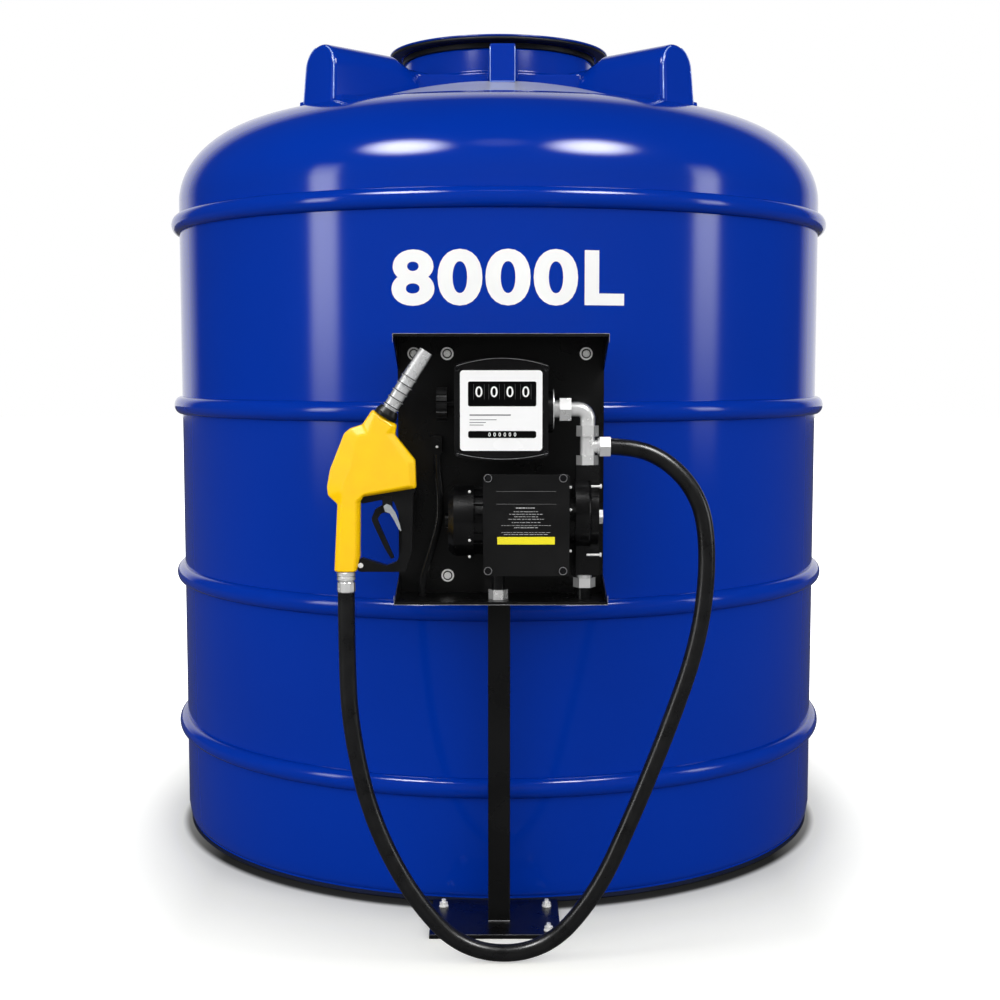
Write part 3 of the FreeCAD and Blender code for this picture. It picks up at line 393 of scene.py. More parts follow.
# Power cable's PVC jacket: glossier than the hose
CABLE_JACKET = Finish("pvc_cable_jacket", "0B0B0C", "101011", 0.24, grain_mm=4.0, relief=0.05,
                      relief_mm=0.2, gloss_spread=0.04, mottle_mm=60.0, specular=0.6)
# Grey die-cast latch
LATCH_GREY = Finish("die_cast_zinc_grey", "CBD0D4", "B9BEC2", 0.36, metallic=0.5, grain_mm=3.0,
                    relief=0.15, relief_mm=0.2, mottle_mm=12.0)


def dress(obj: bpy.types.Object, finish: Finish) -> bpy.types.Object:
    """Gives an object one finish all over."""
    obj.data.materials.clear()
    obj.data.materials.append(finish.material())
    return obj


def smooth(obj: bpy.types.Object, angle: float = 32.0) -> bpy.types.Object:
    """Shades a mesh smooth and keeps the edges sharp that turn by more than an angle."""
    obj.data.shade_smooth()
    obj.data.set_sharp_from_angle(angle=math.radians(angle))
    return obj


def soften(obj: bpy.types.Object, width_mm: float, segments: int = 2,
           angle: float = 35.0) -> bpy.types.Object:
    """Rounds the hard edges with a bevel modifier.

    Args:
        obj: a mesh object.
        width_mm: width of the rounding.
        segments: steps across it.
        angle: edges that turn by less stay as they are.

    Returns:
        The same object.
    """
    bevel = obj.modifiers.new("rounded_edges", "BEVEL")
    bevel.width = width_mm / 1000
    bevel.segments = segments
    bevel.limit_method = "ANGLE"
    bevel.angle_limit = math.radians(angle)
    bevel.harden_normals = True
    bevel.use_clamp_overlap = True
    return obj


def new_piece(name: str, mesh: bpy.types.Mesh, finish: Finish,
              body: Body = Body.STAND, stands_for: tuple[str, ...] = ()) -> bpy.types.Object:
    """Puts a mesh in the scene as a piece of the object.

    Args:
        name: name of the piece.
        mesh: its mesh, in metres in the frame of the CAD.
        finish: its surface.
        body: the body it rides on.
        stands_for: CAD nodes it takes the place of.

    Returns:
        The new object.
    """
    obj = bpy.data.objects.new(name, mesh)
    bpy.context.scene.collection.objects.link(obj)
    dress(obj, finish)
    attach(obj, body.value)
    if stands_for:
        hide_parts(*stands_for)
    log.info("%s: %d faces", name, len(mesh.polygons))
    return obj


def rounded(points: list[Point], radius: float, steps: int = 4, closed: bool = True) -> list[Point]:
    """Rounds the corners of an outline.

    Args:
        points: corners in order.
        radius: radius of the rounding, less where a side is short.
        steps: straight steps in each corner.
        closed: whether the last corner joins the first.

    Returns:
        The outline with an arc at each corner.
    """
    result: list[Point] = []
    count = len(points)
    for i, here in enumerate(points):
        if not closed and i in (0, count - 1):
            result.append(here)
            continue
        h = Vector(here)
        a = Vector(points[i - 1]) - h
        b = Vector(points[(i + 1) % count]) - h
        turn = math.pi - a.angle(b)
        if turn < 0.05:
            result.append(here)
            continue
        reach = min(radius * math.tan(turn / 2), 0.48 * a.length, 0.48 * b.length)
        start = h + a.normalized() * reach
        end = h + b.normalized() * reach
        for k in range(steps + 1):
            t = k / steps
            spot = start * (1 - t) ** 2 + h * 2 * t * (1 - t) + end * t ** 2
            result.append((spot.x, spot.y))
    return result


def made_mesh(name: str, work: bmesh.types.BMesh, place: Matrix | None = None,
              sharp: float | None = None) -> bpy.types.Mesh:
    """Turns worked geometry into a mesh.

    Args:
        name: name of the mesh.
        work: the geometry, which is freed.
        place: matrix laid over it.
        sharp: angle in degrees past which a smoothly shaded mesh keeps its edges sharp.

    Returns:
        The mesh, its faces turned outwards.
    """
    mesh = bpy.data.meshes.new(name)
    bmesh.ops.recalc_face_normals(work, faces=work.faces)
    if place is not None:
        bmesh.ops.transform(work, matrix=place, verts=work.verts)
    work.to_mesh(mesh)
    work.free()
    if sharp is not None:
        mesh.shade_smooth()
        mesh.set_sharp_from_angle(angle=math.radians(sharp))
    return mesh


def lathe(name: str, profile: list[Point], segments: int = 192, closed: bool = True,
          sweep: Matrix | None = None) -> bpy.types.Mesh:
    """Turns a profile about the Z axis.

    Args:
        name: name of the mesh.
        profile: (radius, height) points in metres.
        segments: steps round the axis.
        closed: whether the profile's last point joins its first.
        sweep: matrix laid over the finished mesh.

    Returns:
        The turned mesh.
    """
    work = bmesh.new()
    rings = []
    for r, z in profile:
        if r < 1e-6:
            rings.append([work.verts.new((0, 0, z))] * segments)
            continue
        rings.append([work.verts.new((r * math.cos(2 * math.pi * k / segments),
                                      r * math.sin(2 * math.pi * k / segments), z))
                      for k in range(segments)])
    pairs = list(zip(rings, rings[1:]))
    if closed:
        pairs.append((rings[-1], rings[0]))
    for low, high in pairs:
        for k in range(segments):
            n = (k + 1) % segments
            corners = []
            for vert in (low[k], low[n], high[n], high[k]):
                if vert not in corners:
                    corners.append(vert)
            if len(corners) > 2:
                work.faces.new(corners)
    return made_mesh(name, work, sweep, 40)


def plate(name: str, outline: list[Point], depth: float, place: Matrix) -> bpy.types.Mesh:
    """Raises a flat outline to a plate.

    Args:
        name: name of the mesh.
        outline: corners in the plate's own plane, in metres.
        depth: thickness, along the plane's normal.
        place: matrix from the plate's plane to the frame.

    Returns:
        The plate's mesh.
    """
    work = bmesh.new()
    low = [work.verts.new((x, y, 0)) for x, y in outline]
    high = [work.verts.new((x, y, depth)) for x, y in outline]
    work.faces.new(low[::-1])
    work.faces.new(high)
    for i in range(len(outline)):
        n = (i + 1) % len(outline)
        work.faces.new((low[i], low[n], high[n], high[i]))
    return made_mesh(name, work, place, 35)


def joined(name: str, meshes: list[bpy.types.Mesh]) -> bpy.types.Mesh:
    """Puts several meshes into one."""
    result = bpy.data.meshes.new(name)
    work = bmesh.new()
    for mesh in meshes:
        work.from_mesh(mesh)
        bpy.data.meshes.remove(mesh)
    work.to_mesh(result)
    work.free()
    result.shade_smooth()
    result.set_sharp_from_angle(angle=math.radians(35))
    return result


def bar(name: str, start: Triple, end: Triple, radius: float) -> bpy.types.Mesh:
    """A thin round bar from one point to another."""
    run = Vector(end) - Vector(start)
    profile = rounded([(0.0, 0.0), (radius, 0.0), (radius, run.length), (0.0, run.length)],
                      radius * 0.4, 2)
    turn = Matrix.Translation(start) @ run.to_track_quat("Z", "Y").to_matrix().to_4x4()
    return lathe(name, profile, 12, sweep=turn)


def facing_front(x: float, y: float, z: float) -> Matrix:
    """A plane seen from the front: its X to the right, its Y up, its normal towards -Y."""
    return Matrix.Translation((x, y, z)) @ Matrix.Rotation(math.pi / 2, 4, "X")


def rectangle(wide: float, tall: float, radius: float = 0.0, steps: int = 4) -> list[Point]:
    """A rectangle round the origin, its corners rounded."""
    w, h = wide / 2, tall / 2
    corners = [(-w, -h), (w, -h), (w, h), (-w, h)]
    return rounded(corners, radius, steps) if radius > 0 else corners


def lettering(name: str, text: str, height: float, thicken: float,
              squeeze: float = 1.0, spacing: float = 1.0) -> bpy.types.Mesh:
    """Flat figures from Blender's own font, centred on the origin.

    Args:
        name: name of the mesh.
        text: the figures.
        height: height of a figure in metres.
        thicken: how far each stroke grows outwards, in metres.
        squeeze: factor on the width.
        spacing: factor on the step from one figure to the next.

    Returns:
        The flat mesh.
    """
    curve = bpy.data.curves.new(name + "_curve", "FONT")
    curve.body = text
    curve.size = height / 0.7
    curve.offset = thicken
    curve.align_x = "CENTER"
    curve.space_character = spacing
    curve.resolution_u = 6
    holder = bpy.data.objects.new(name + "_curve", curve)
    bpy.context.scene.collection.objects.link(holder)
    bpy.context.view_layer.update()
    mesh = bpy.data.meshes.new_from_object(holder)
    bpy.data.objects.remove(holder)
    mesh.name = name
    xs = [v.co.x for v in mesh.vertices]
    ys = [v.co.y for v in mesh.vertices]
    middle = Vector(((min(xs) + max(xs)) / 2, (min(ys) + max(ys)) / 2, 0))
    for vert in mesh.vertices:
        vert.co = vert.co - middle
        vert.co.x *= squeeze
    return mesh


@dataclass
class Studio:
    """Camera of the photograph's own angle, lamps, backdrop light and the pale floor."""

    eye: Triple = (0.0045, -5.2733, 1.5184)
    pitch: float = 4.9864
    lens: float = 54.81
    sensor: float = 36.0
    floor_half: float = 40.0
    strip_width: float = 1.3
    strip_height: float = 4.2
    # The dark ring at the foot lies a little to the front, as the photograph's does
    shadow_ring_shift: Triple = (0.0, 0.045, 0.0)

    def camera(self) -> None:
        """Sets the camera up and makes it the scene's."""
        data = bpy.data.cameras.new("studio_camera")
        data.lens = self.lens
        data.sensor_width = self.sensor
        data.sensor_fit = "HORIZONTAL"
        data.clip_end = 200
        obj = bpy.data.objects.new("studio_camera", data)
        obj.location = self.eye
        obj.rotation_euler = (math.radians(90 - self.pitch), 0, 0)
        bpy.context.scene.collection.objects.link(obj)
        bpy.context.scene.camera = obj

    def lamp(self, name: str, spot: Triple, aim: Triple, wide: float, tall: float,
             watts: float) -> bpy.types.Object:
        """Adds a rectangular lamp.

        Args:
            name: name of the lamp.
            spot: where it stands.
            aim: the point it faces.
            wide: width in metres.
            tall: height in metres.
            watts: power.

        Returns:
            The lamp's object.
        """
        data = bpy.data.lights.new(name, "AREA")
        data.shape = "RECTANGLE"
        data.size = wide
        data.size_y = tall
        data.energy = watts
        obj = bpy.data.objects.new(name, data)
        obj.location = spot
        obj.rotation_euler = (Vector(aim) - Vector(spot)).to_track_quat("-Z", "Y").to_euler()
        bpy.context.scene.collection.objects.link(obj)
        return obj

    def strip(self, name: str, spot: Triple, aim: Triple, watts: float, low_end: float) -> None:
        """A tall strip lamp whose light fades towards both its ends.

        Args:
            name: name of the lamp.
            spot: its middle.
            aim: the point it faces.
            watts: power of a strip as bright all over as at its middle.
            low_end: share of its height at which its lower end starts to glow.
        """
        obj = self.lamp(name, spot, aim, self.strip_width, self.strip_height, watts)
        obj.data.use_nodes = True
        tree = obj.data.node_tree
        tree.nodes.clear()
        place = add_node(tree, "ShaderNodeNewGeometry").outputs["Parametric"]
        parts = add_node(tree, "ShaderNodeSeparateXYZ", links={0: place})
        low = ramp(tree, parts.outputs["Y"], low_end, low_end + 0.44)
        high = ramp(tree, parts.outputs["Y"], 1.0, 0.55)
        aside = reckon(tree, "ABSOLUTE", reckon(tree, "SUBTRACT", parts.outputs["X"], 0.5))
        ends = reckon(tree, "MULTIPLY", low, high)
        whole = reckon(tree, "MULTIPLY", ends, ramp(tree, aside, 0.5, 0.22))
        glow = add_node(tree, "ShaderNodeEmission", links={"Strength": whole})
        add_node(tree, "ShaderNodeOutputLight", links={"Surface": glow.outputs[0]})

    def glint(self, name: str, spot: Triple, aim: Triple, wide: float, tall: float,
              watts: float) -> None:
        """A lamp for gloss alone, bright in the middle and fading to its rim.

        Args:
            name: name of the lamp.
            spot: its middle.
            aim: the point it faces.
            wide: width in metres.
            tall: height in metres.
            watts: power of a lamp as bright all over as in its middle.
        """
        obj = self.lamp(name, spot, aim, wide, tall, watts)
        obj.visible_diffuse = False
        obj.data.use_nodes = True
        tree = obj.data.node_tree
        tree.nodes.clear()
        place = add_node(tree, "ShaderNodeNewGeometry").outputs["Parametric"]
        away = add_node(tree, "ShaderNodeVectorMath", {1: (0.5, 0.5, 0.0)}, {0: place},
                        operation="DISTANCE")
        fade = ramp(tree, away.outputs["Value"], 0.5, 0.12)
        glow = add_node(tree, "ShaderNodeEmission", links={"Strength": fade})
        add_node(tree, "ShaderNodeOutputLight", links={"Surface": glow.outputs[0]})

    def lamps(self) -> None:
        """Two tall strips at the sides, three glints overhead and a low dim front fill."""
        self.strip("strip_left", (-4.70, -3.28, 2.3), (-0.46, -0.96, 2.3), 158, 0.10)
        self.strip("strip_right", (5.24, -2.16, 2.3), (0.59, -0.89, 2.3), 128, 0.13)
        self.glint("overhead_left", (-2.15, -3.4, 5.0), (0, -0.4, 1.6), 2.7, 2.2, 700)
        self.glint("overhead_right", (2.15, -3.4, 5.0), (0, -0.4, 1.6), 2.7, 2.2, 700)
        self.glint("overhead_middle", (0, -3.4, 5.0), (0, -0.4, 1.6), 1.6, 1.2, 7)
        fill = self.lamp("front_fill", (0, -7.5, 0.95), (0, 0, 0.95), 7.0, 1.5, 22)
        fill.visible_glossy = False

    def world(self) -> None:
        """White backdrop for the eye and for gloss from behind, grey light for the rest."""
        world = bpy.data.worlds.new("studio_world")
        bpy.context.scene.world = world
        world.use_nodes = True
        tree = world.node_tree
        tree.nodes.clear()
        ray = add_node(tree, "ShaderNodeLightPath")
        way = add_node(tree, "ShaderNodeTexCoord").outputs["Generated"]
        parts = add_node(tree, "ShaderNodeSeparateXYZ", links={0: way})
        ahead, up = parts.outputs["Y"], parts.outputs["Z"]
        behind = ramp(tree, ahead, 0.66, 0.8, 0.03, 1.0, soft=False)
        sky = ramp(tree, up, 0.0, 1.0, 2.5, 0.4, soft=False)
        front = ramp(tree, ahead, 0.3, -0.9, 0.4, 1.2, soft=False)
        level = reckon(tree, "MULTIPLY", sky, front)
        paint = {"Color": (1, 1, 1, 1)}
        gloss = add_node(tree, "ShaderNodeBackground", paint, {"Strength": behind})
        plain = add_node(tree, "ShaderNodeBackground", paint, {"Strength": level})
        white = add_node(tree, "ShaderNodeBackground", {**paint, "Strength": 1.0})
        for_gloss = reckon(tree, "MAXIMUM", ray.outputs["Is Glossy Ray"],
                           ray.outputs["Is Transmission Ray"])
        first = add_node(tree, "ShaderNodeMixShader",
                         links={0: for_gloss, 1: plain.outputs[0],
                                2: gloss.outputs[0]})
        last = add_node(tree, "ShaderNodeMixShader",
                        links={0: ray.outputs["Is Camera Ray"], 1: first.outputs[0],
                               2: white.outputs[0]})
        add_node(tree, "ShaderNodeOutputWorld", links={"Surface": last.outputs[0]})

    def floor(self) -> None:
        """A pale floor that keeps the object's shadow, with a painted contact shadow: a dark ring
        under the tank's foot.
        """
        mesh = bpy.data.meshes.new("studio_floor")
        h = self.floor_half
        mesh.from_pydata([(-h, -h, 0), (h, -h, 0), (h, h, 0), (-h, h, 0)], [], [(0, 1, 2, 3)])
        obj = bpy.data.objects.new("studio_floor", mesh)
        obj.location = (0, 0, -0.0005)
        bpy.context.scene.collection.objects.link(obj)
        material = bpy.data.materials.new("studio_floor_white")
        material.use_nodes = True
        tree = material.node_tree
        tree.nodes.clear()
        ray = add_node(tree, "ShaderNodeLightPath").outputs["Is Camera Ray"]
        place = add_node(tree, "ShaderNodeTexCoord").outputs["Object"]
        away = add_node(tree, "ShaderNodeVectorMath", links={0: place}, operation="LENGTH")
        # Camera-only glow that lifts the floor towards white, little near the tank and more further
        # out and to the sides: painted light
        near = ramp(tree, away.outputs["Value"], 1.08, 1.22, 0.0, 0.15)
        far = ramp(tree, away.outputs["Value"], 1.2, 2.4, 0.0, 0.8, soft=False)
        parts = add_node(tree, "ShaderNodeSeparateXYZ", links={0: place})
        beside = reckon(tree, "ABSOLUTE", parts.outputs["X"])
        aside = ramp(tree, beside, 0.85, 1.3, 0.0, 0.4, soft=False)
        level = reckon(tree, "ADD", near, reckon(tree, "ADD", far, aside))
        shifted = add_node(tree, "ShaderNodeVectorMath", {1: self.shadow_ring_shift}, {0: place})
        reach = add_node(tree, "ShaderNodeVectorMath", links={0: shifted.outputs[0]},
                         operation="LENGTH")
        # Painted contact shadow: the floor's colour drops to near black in a ring round the tank's
        # foot
        foot = ramp(tree, reach.outputs["Value"], 1.058, 1.088, 0.03, 0.82)
        warm = reckon(tree, "MULTIPLY", foot, 0.93)
        tone = add_node(tree, "ShaderNodeCombineColor", links={0: foot, 1: foot, 2: warm})
        seen = add_node(tree, "ShaderNodeBsdfDiffuse", links={"Color": tone.outputs[0]})
        lift = add_node(tree, "ShaderNodeEmission", {"Color": (1, 1, 1, 1)},
                        {"Strength": level})
        white = add_node(tree, "ShaderNodeAddShader", links={0: seen.outputs[0],
                                                             1: lift.outputs[0]})
        dim = add_node(tree, "ShaderNodeBsdfDiffuse", {"Color": (0.12, 0.12, 0.12, 1)})
        both = add_node(tree, "ShaderNodeMixShader",
                        links={0: ray, 1: dim.outputs[0], 2: white.outputs[0]})
        add_node(tree, "ShaderNodeOutputMaterial", links={"Surface": both.outputs[0]})
        mesh.materials.append(material)

    def build(self) -> None:
        """Sets up camera, lamps, world and floor."""
        bpy.context.scene.view_settings.view_transform = "Standard"
        self.camera()
        self.lamps()
        self.world()
        self.floor()
        log.info("studio is up")


@dataclass
class DispensingHose:
    """Rubber hose that hangs from the tee to the floor and up to the nozzle's swivel."""

    radius: float = 0.022
    length: float = 2.769

    # Control points of the hose's route, in metres
    route: tuple[Triple, ...] = (
        (0.262, -1.330, 1.314), (0.350, -1.330, 1.314), (0.434, -1.336, 1.279),
        (0.500, -1.346, 1.213), (0.536, -1.358, 1.125), (0.540, -1.376, 0.975),
        (0.512, -1.398, 0.800), (0.440, -1.425, 0.600), (0.345, -1.452, 0.372),
        (0.250, -1.474, 0.168), (0.115, -1.487, 0.023), (-0.085, -1.487, 0.023),
        (-0.225, -1.472, 0.168), (-0.330, -1.446, 0.372), (-0.381, -1.422, 0.600),
        (-0.390, -1.400, 0.790), (-0.390, -1.400, 0.943))

    def build(self) -> None:
        """Lays the hose as one smooth NURBS curve."""
        curve = bpy.data.curves.new("dispensing_hose_curve", "CURVE")
        curve.dimensions = "3D"
        curve.bevel_depth = self.radius
        curve.bevel_resolution = 8
        curve.resolution_u = 16
        curve.use_fill_caps = True
        spline = curve.splines.new("NURBS")
        spline.points.add(len(self.route) - 1)
        for point, spot in zip(spline.points, self.route):
            point.co = (*spot, 1.0)
        spline.order_u = 3
        spline.use_endpoint_u = True
        hose = bpy.data.objects.new("hose_line", curve)
        bpy.context.scene.collection.objects.link(hose)
        dress(hose, HOSE_RUBBER)
        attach(hose, FIXED)
        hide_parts("dispensing_hose")
        log.info("hose is laid")


@dataclass
class TankShell:
    """Ribbed wall, domed roof, manhole and lid, all turned about the tank's axis."""

    radius: float = 1.070
    wall: float = 0.012
    foot: float = 0.014
    top: float = 2.054
    bead_depth: float = 0.026
    bead_height: float = 0.058
    bead_shares: tuple[float, ...] = (0.1495, 0.3948, 0.6646, 0.9508)
    shoulder_run: float = 0.364
    shoulder_rise: float = 0.269
    seat_level: float = 2.420
    seat_radius: float = 0.353
    neck_radius: float = 0.318
    platform_half: float = 0.362
    platform_corner: float = 0.437
    # Lifting lug: half its width, how much wider its foot is, its top and foot levels, where
    # it starts and ends along its radius, its end's rounding and how far that end leans out
    fin_half: float = 0.0715
    fin_draft: float = 0.014
    fin_crest: float = 2.4975
    fin_base: float = 2.150
    fin_root: float = 0.350
    fin_end: float = 0.752
    fin_round: float = 0.016
    fin_lean: float = 0.024
    lean_height: float = 0.35

    def bead(self, level: float) -> list[Point]:
        """Half-round bead with a small hollow radius where it meets the wall.

        Args:
            level: height of its lower edge.

        Returns:
            Profile points from below to above.
        """
        points: list[Point] = [(self.radius, level - 0.004)]
        for i in range(17):
            a = math.pi * i / 16
            points.append((self.radius + self.bead_depth * math.sin(a) ** 0.9,
                           level + self.bead_height / 2 * (1 - math.cos(a))))
        points.append((self.radius, level + self.bead_height + 0.004))
        return points

    def shell(self) -> None:
        """Wall with its four beads, from the foot to the shoulder."""
        profile: list[Point] = rounded(
            [(self.radius - 0.05, self.foot), (self.radius - 0.008, self.foot),
             (self.radius, self.foot + 0.05)], 0.05, 6, closed=False)
        for share in self.bead_shares:
            profile += self.bead(self.top * share)
        profile += [(self.radius, self.top), (self.radius - self.wall, self.top),
                    (self.radius - self.wall, self.foot)]
        new_piece("tank_shell", lathe("tank_shell", profile, 256), TANK_BLUE,
                  stands_for=("tank_wall",))

    def roof(self) -> None:
        """Elliptical shoulder, cone and seat, hollow inside."""
        crown = self.radius - self.shoulder_run
        rise = self.shoulder_rise
        profile: list[Point] = []
        for i in range(33):
            a = math.pi / 2 * i / 32
            profile.append((crown + self.shoulder_run * math.cos(a), self.top + rise * math.sin(a)))
        profile += rounded([(crown, self.top + rise), (self.seat_radius + 0.012, self.seat_level),
                            (self.seat_radius, self.seat_level)], 0.03, 6, closed=False)[1:]
        bore = self.neck_radius - self.wall
        profile += [(bore, self.seat_level), (bore, self.seat_level - self.wall)]
        for i in range(16, -1, -1):
            a = math.pi / 2 * i / 16
            profile.append((crown + (self.shoulder_run - self.wall) * math.cos(a),
                            self.top + (rise - self.wall) * math.sin(a)))
        new_piece("domed_roof", lathe("domed_roof", profile, 256), TANK_CROWN,
                  stands_for=("tank_roof",))

    def platform(self) -> bpy.types.Mesh:
        """Low eight-sided step that the neck stands on, a long side to each quarter.

        Returns:
            The step's mesh, open in the middle.
        """
        profile = rounded([(0.345, 2.398), (1.0, 2.398), (1.0, 2.441), (0.345, 2.443)], 0.004, 3)
        mesh = lathe("neck_platform", profile, 288)
        for vert in mesh.vertices:
            reach = math.hypot(vert.co.x, vert.co.y)
            if reach < 0.5:
                continue
            angle = math.atan2(vert.co.y, vert.co.x)
            straight = self.platform_half / math.cos((angle + math.pi / 4) % (math.pi / 2)
                                                     - math.pi / 4)
            slanted = self.platform_corner / math.cos(angle % (math.pi / 2) - math.pi / 4)
            edge = min(straight, slanted) - (1.0 - reach)
            vert.co.x *= edge / reach
            vert.co.y *= edge / reach
        mesh.shade_smooth()
        mesh.set_sharp_from_angle(angle=math.radians(40))
        return mesh

    def manhole(self) -> None:
        """Neck with its two steps, each edge rounded."""
        bore = self.neck_radius - self.wall
        seat = self.seat_radius
        corners = [(bore, 2.428), (seat, 2.428), (seat, 2.433), (0.336, 2.437), (0.336, 2.453),
                   (0.318, 2.457), (0.318, 2.531), (bore, 2.531)]
        neck = lathe("neck_turned", rounded(corners, 0.006, 3), 160)
        new_piece("neck_ring", joined("neck_ring", [neck, self.platform()]), TANK_BLUE,
                  stands_for=("manhole_neck",))
        seal = rounded([(bore, 2.531), (0.3235, 2.531), (0.3235, 2.549), (bore, 2.549)], 0.003, 3)
        new_piece("lid_gasket", lathe("lid_gasket", seal, 160), SEAL_RUBBER,
                  stands_for=("lid_seal",))

    def lid(self) -> None:
        """Lid with a rolled rim, a step inside it and a low crown."""
        outer = [(0.0, 2.550), (0.340, 2.550), (0.345, 2.5575), (0.367, 2.5585),
                 (0.367, 2.565), (0.346, 2.567), (0.340, 2.561),
                 (0.318, 2.562), (0.275, 2.569), (0.147, 2.5757), (0.0, 2.579)]
        profile = [(0.0, 2.550)] + rounded(outer, 0.003, 3, closed=False)[1:]
        new_piece("lid_cap", lathe("lid_cap", profile, 160, closed=False), LID_BLUE,
                  body=Body.LID, stands_for=("tank_lid",))
        # Black ring under the lid's rim: partly the gasket's edge, partly painted shade under the
        # rim
        ring = rounded([(0.325, 2.5495), (0.3625, 2.5495), (0.3655, 2.553), (0.3655, 2.5583),
                        (0.346, 2.5573), (0.341, 2.5515)], 0.002, 3)
        new_piece("lid_rim_gasket_shade", lathe("lid_rim_gasket_shade", ring, 160), SEAL_RUBBER,
                  body=Body.LID)

    def skin(self, reach: float) -> float:
        """Height of the roof's outer skin at a distance from the axis."""
        crown = self.radius - self.shoulder_run
        if reach > crown:
            share = min(1.0, (reach - crown) / self.shoulder_run)
            return self.top + self.shoulder_rise * math.sqrt(1 - share ** 2)
        share = (crown - reach) / (crown - self.seat_radius)
        return self.top + self.shoulder_rise + share * (self.seat_level - self.top
                                                        - self.shoulder_rise)

    def lean(self, level: float) -> float:
        """How far the lug's outer face stands out at a level."""
        return self.fin_lean * (self.fin_crest - level) / self.lean_height

    def fin(self, name: str) -> bpy.types.Mesh:
        """Round-topped lug along X, its outer face lean and its face's edge generously rounded.

        Args:
            name: name of the mesh.

        Returns:
            The fin's mesh before it is turned to its place.
        """
        ridge = rounded([(self.fin_root, 2.466), (0.432, 2.468), (0.500, self.fin_crest),
                         (self.fin_end, self.fin_crest)], 0.02, 4, closed=False)
        stations = [(u, z, 0.0) for u, z in ridge]
        for i in range(1, 9):
            a = math.pi / 2 * i / 8
            drop = self.fin_round * (1 - math.cos(a))
            stations.append((self.fin_end + self.fin_round * math.sin(a),
                             self.fin_crest - drop, drop))
        work = bmesh.new()
        rings = []
        for u, z, inset in stations:
            half = self.fin_half - inset
            wide = self.fin_half + self.fin_draft - inset
            spring = z - half
            outline = [(wide, self.fin_base)]
            outline += [(half * math.cos(math.pi * k / 24), spring + half * math.sin(
                math.pi * k / 24)) for k in range(25)]
            outline.append((-wide, self.fin_base))
            rings.append([work.verts.new((u + self.lean(level)
                                          * min(1.0, (u - self.fin_root) / 0.4), v, level))
                          for v, level in outline])
        for near, far in zip(rings, rings[1:]):
            for k in range(len(near) - 1):
                work.faces.new((near[k], near[k + 1], far[k + 1], far[k]))
            work.faces.new((near[-1], near[0], far[0], far[-1]))
        work.faces.new(rings[0])
        work.faces.new(rings[-1][::-1])
        return made_mesh(name, work)

    def fin_highlight_lines(self) -> list[bpy.types.Mesh]:
        """Thin pale lines along both edges of the fin's outer face: painted highlights."""
        spring = self.fin_crest - self.fin_half
        half = self.fin_half - 0.0047
        route = [(half + self.fin_draft * (spring - z) / (spring - self.fin_base), z)
                 for z in (2.325, 2.375, spring)]
        route += [(half * math.cos(math.pi * k / 24), spring + half * math.sin(math.pi * k / 24))
                  for k in range(1, 10)]
        meshes = []
        for side in (-1, 1):
            spots = [(0.7633 + self.lean(z), side * v, z) for v, z in route]
            meshes += [bar("edge", a, b, 0.0022) for a, b in zip(spots, spots[1:])]
        return meshes

    def skirt(self, name: str) -> bpy.types.Mesh:
        """Low flange that follows the roof round the fin's foot, widening outwards.

        Args:
            name: name of the mesh.

        Returns:
            The flange's mesh before it is turned to its place.
        """
        work = bmesh.new()
        steps = 20
        grid = []
        for i in range(steps + 1):
            row = []
            for k in range(steps + 1):
                share = max(0.0, min(1.0, (i - 1) / (steps - 2)))
                u = 0.360 + share * 0.407
                half = self.fin_half + share * (self.fin_draft + 0.016)
                v = half * max(-1.0, min(1.0, (2 * k - steps) / (steps - 2)))
                outside = i in (0, steps) or k in (0, steps)
                lift = -0.012 if outside else 0.016
                push = 0.002 if outside else 0.0
                row.append(work.verts.new((u + (push if i == steps else 0.0),
                                           v + math.copysign(push, v),
                                           self.skin(math.hypot(u, v)) + lift)))
            grid.append(row)
        for low, high in zip(grid, grid[1:]):
            for k in range(steps):
                work.faces.new((low[k], low[k + 1], high[k + 1], high[k]))
        return made_mesh(name, work)

    def lugs(self) -> None:
        """Four lifting lugs, each a fin on its flange, with painted highlight lines along its outer
        face's edges.
        """
        for name, degrees in (("lug_front_right", -45), ("lug_back_right", 45),
                              ("lug_back_left", 135), ("lug_front_left", -135)):
            mesh = joined(f"lifting_{name}", [self.fin("fin"), self.skirt("skirt")])
            mesh.transform(Matrix.Rotation(math.radians(degrees), 4, "Z"))
            mesh.set_sharp_from_angle(angle=math.radians(50))
            obj = new_piece(f"lifting_{name}", mesh, TANK_BLUE, stands_for=(name,))
            soften(obj, 3.0, 3, 50)
            edges = joined(f"{name}_edges", self.fin_highlight_lines())
            edges.transform(Matrix.Rotation(math.radians(degrees), 4, "Z"))
            new_piece(f"{name}_edges", edges, TANK_HIGHLIGHT)

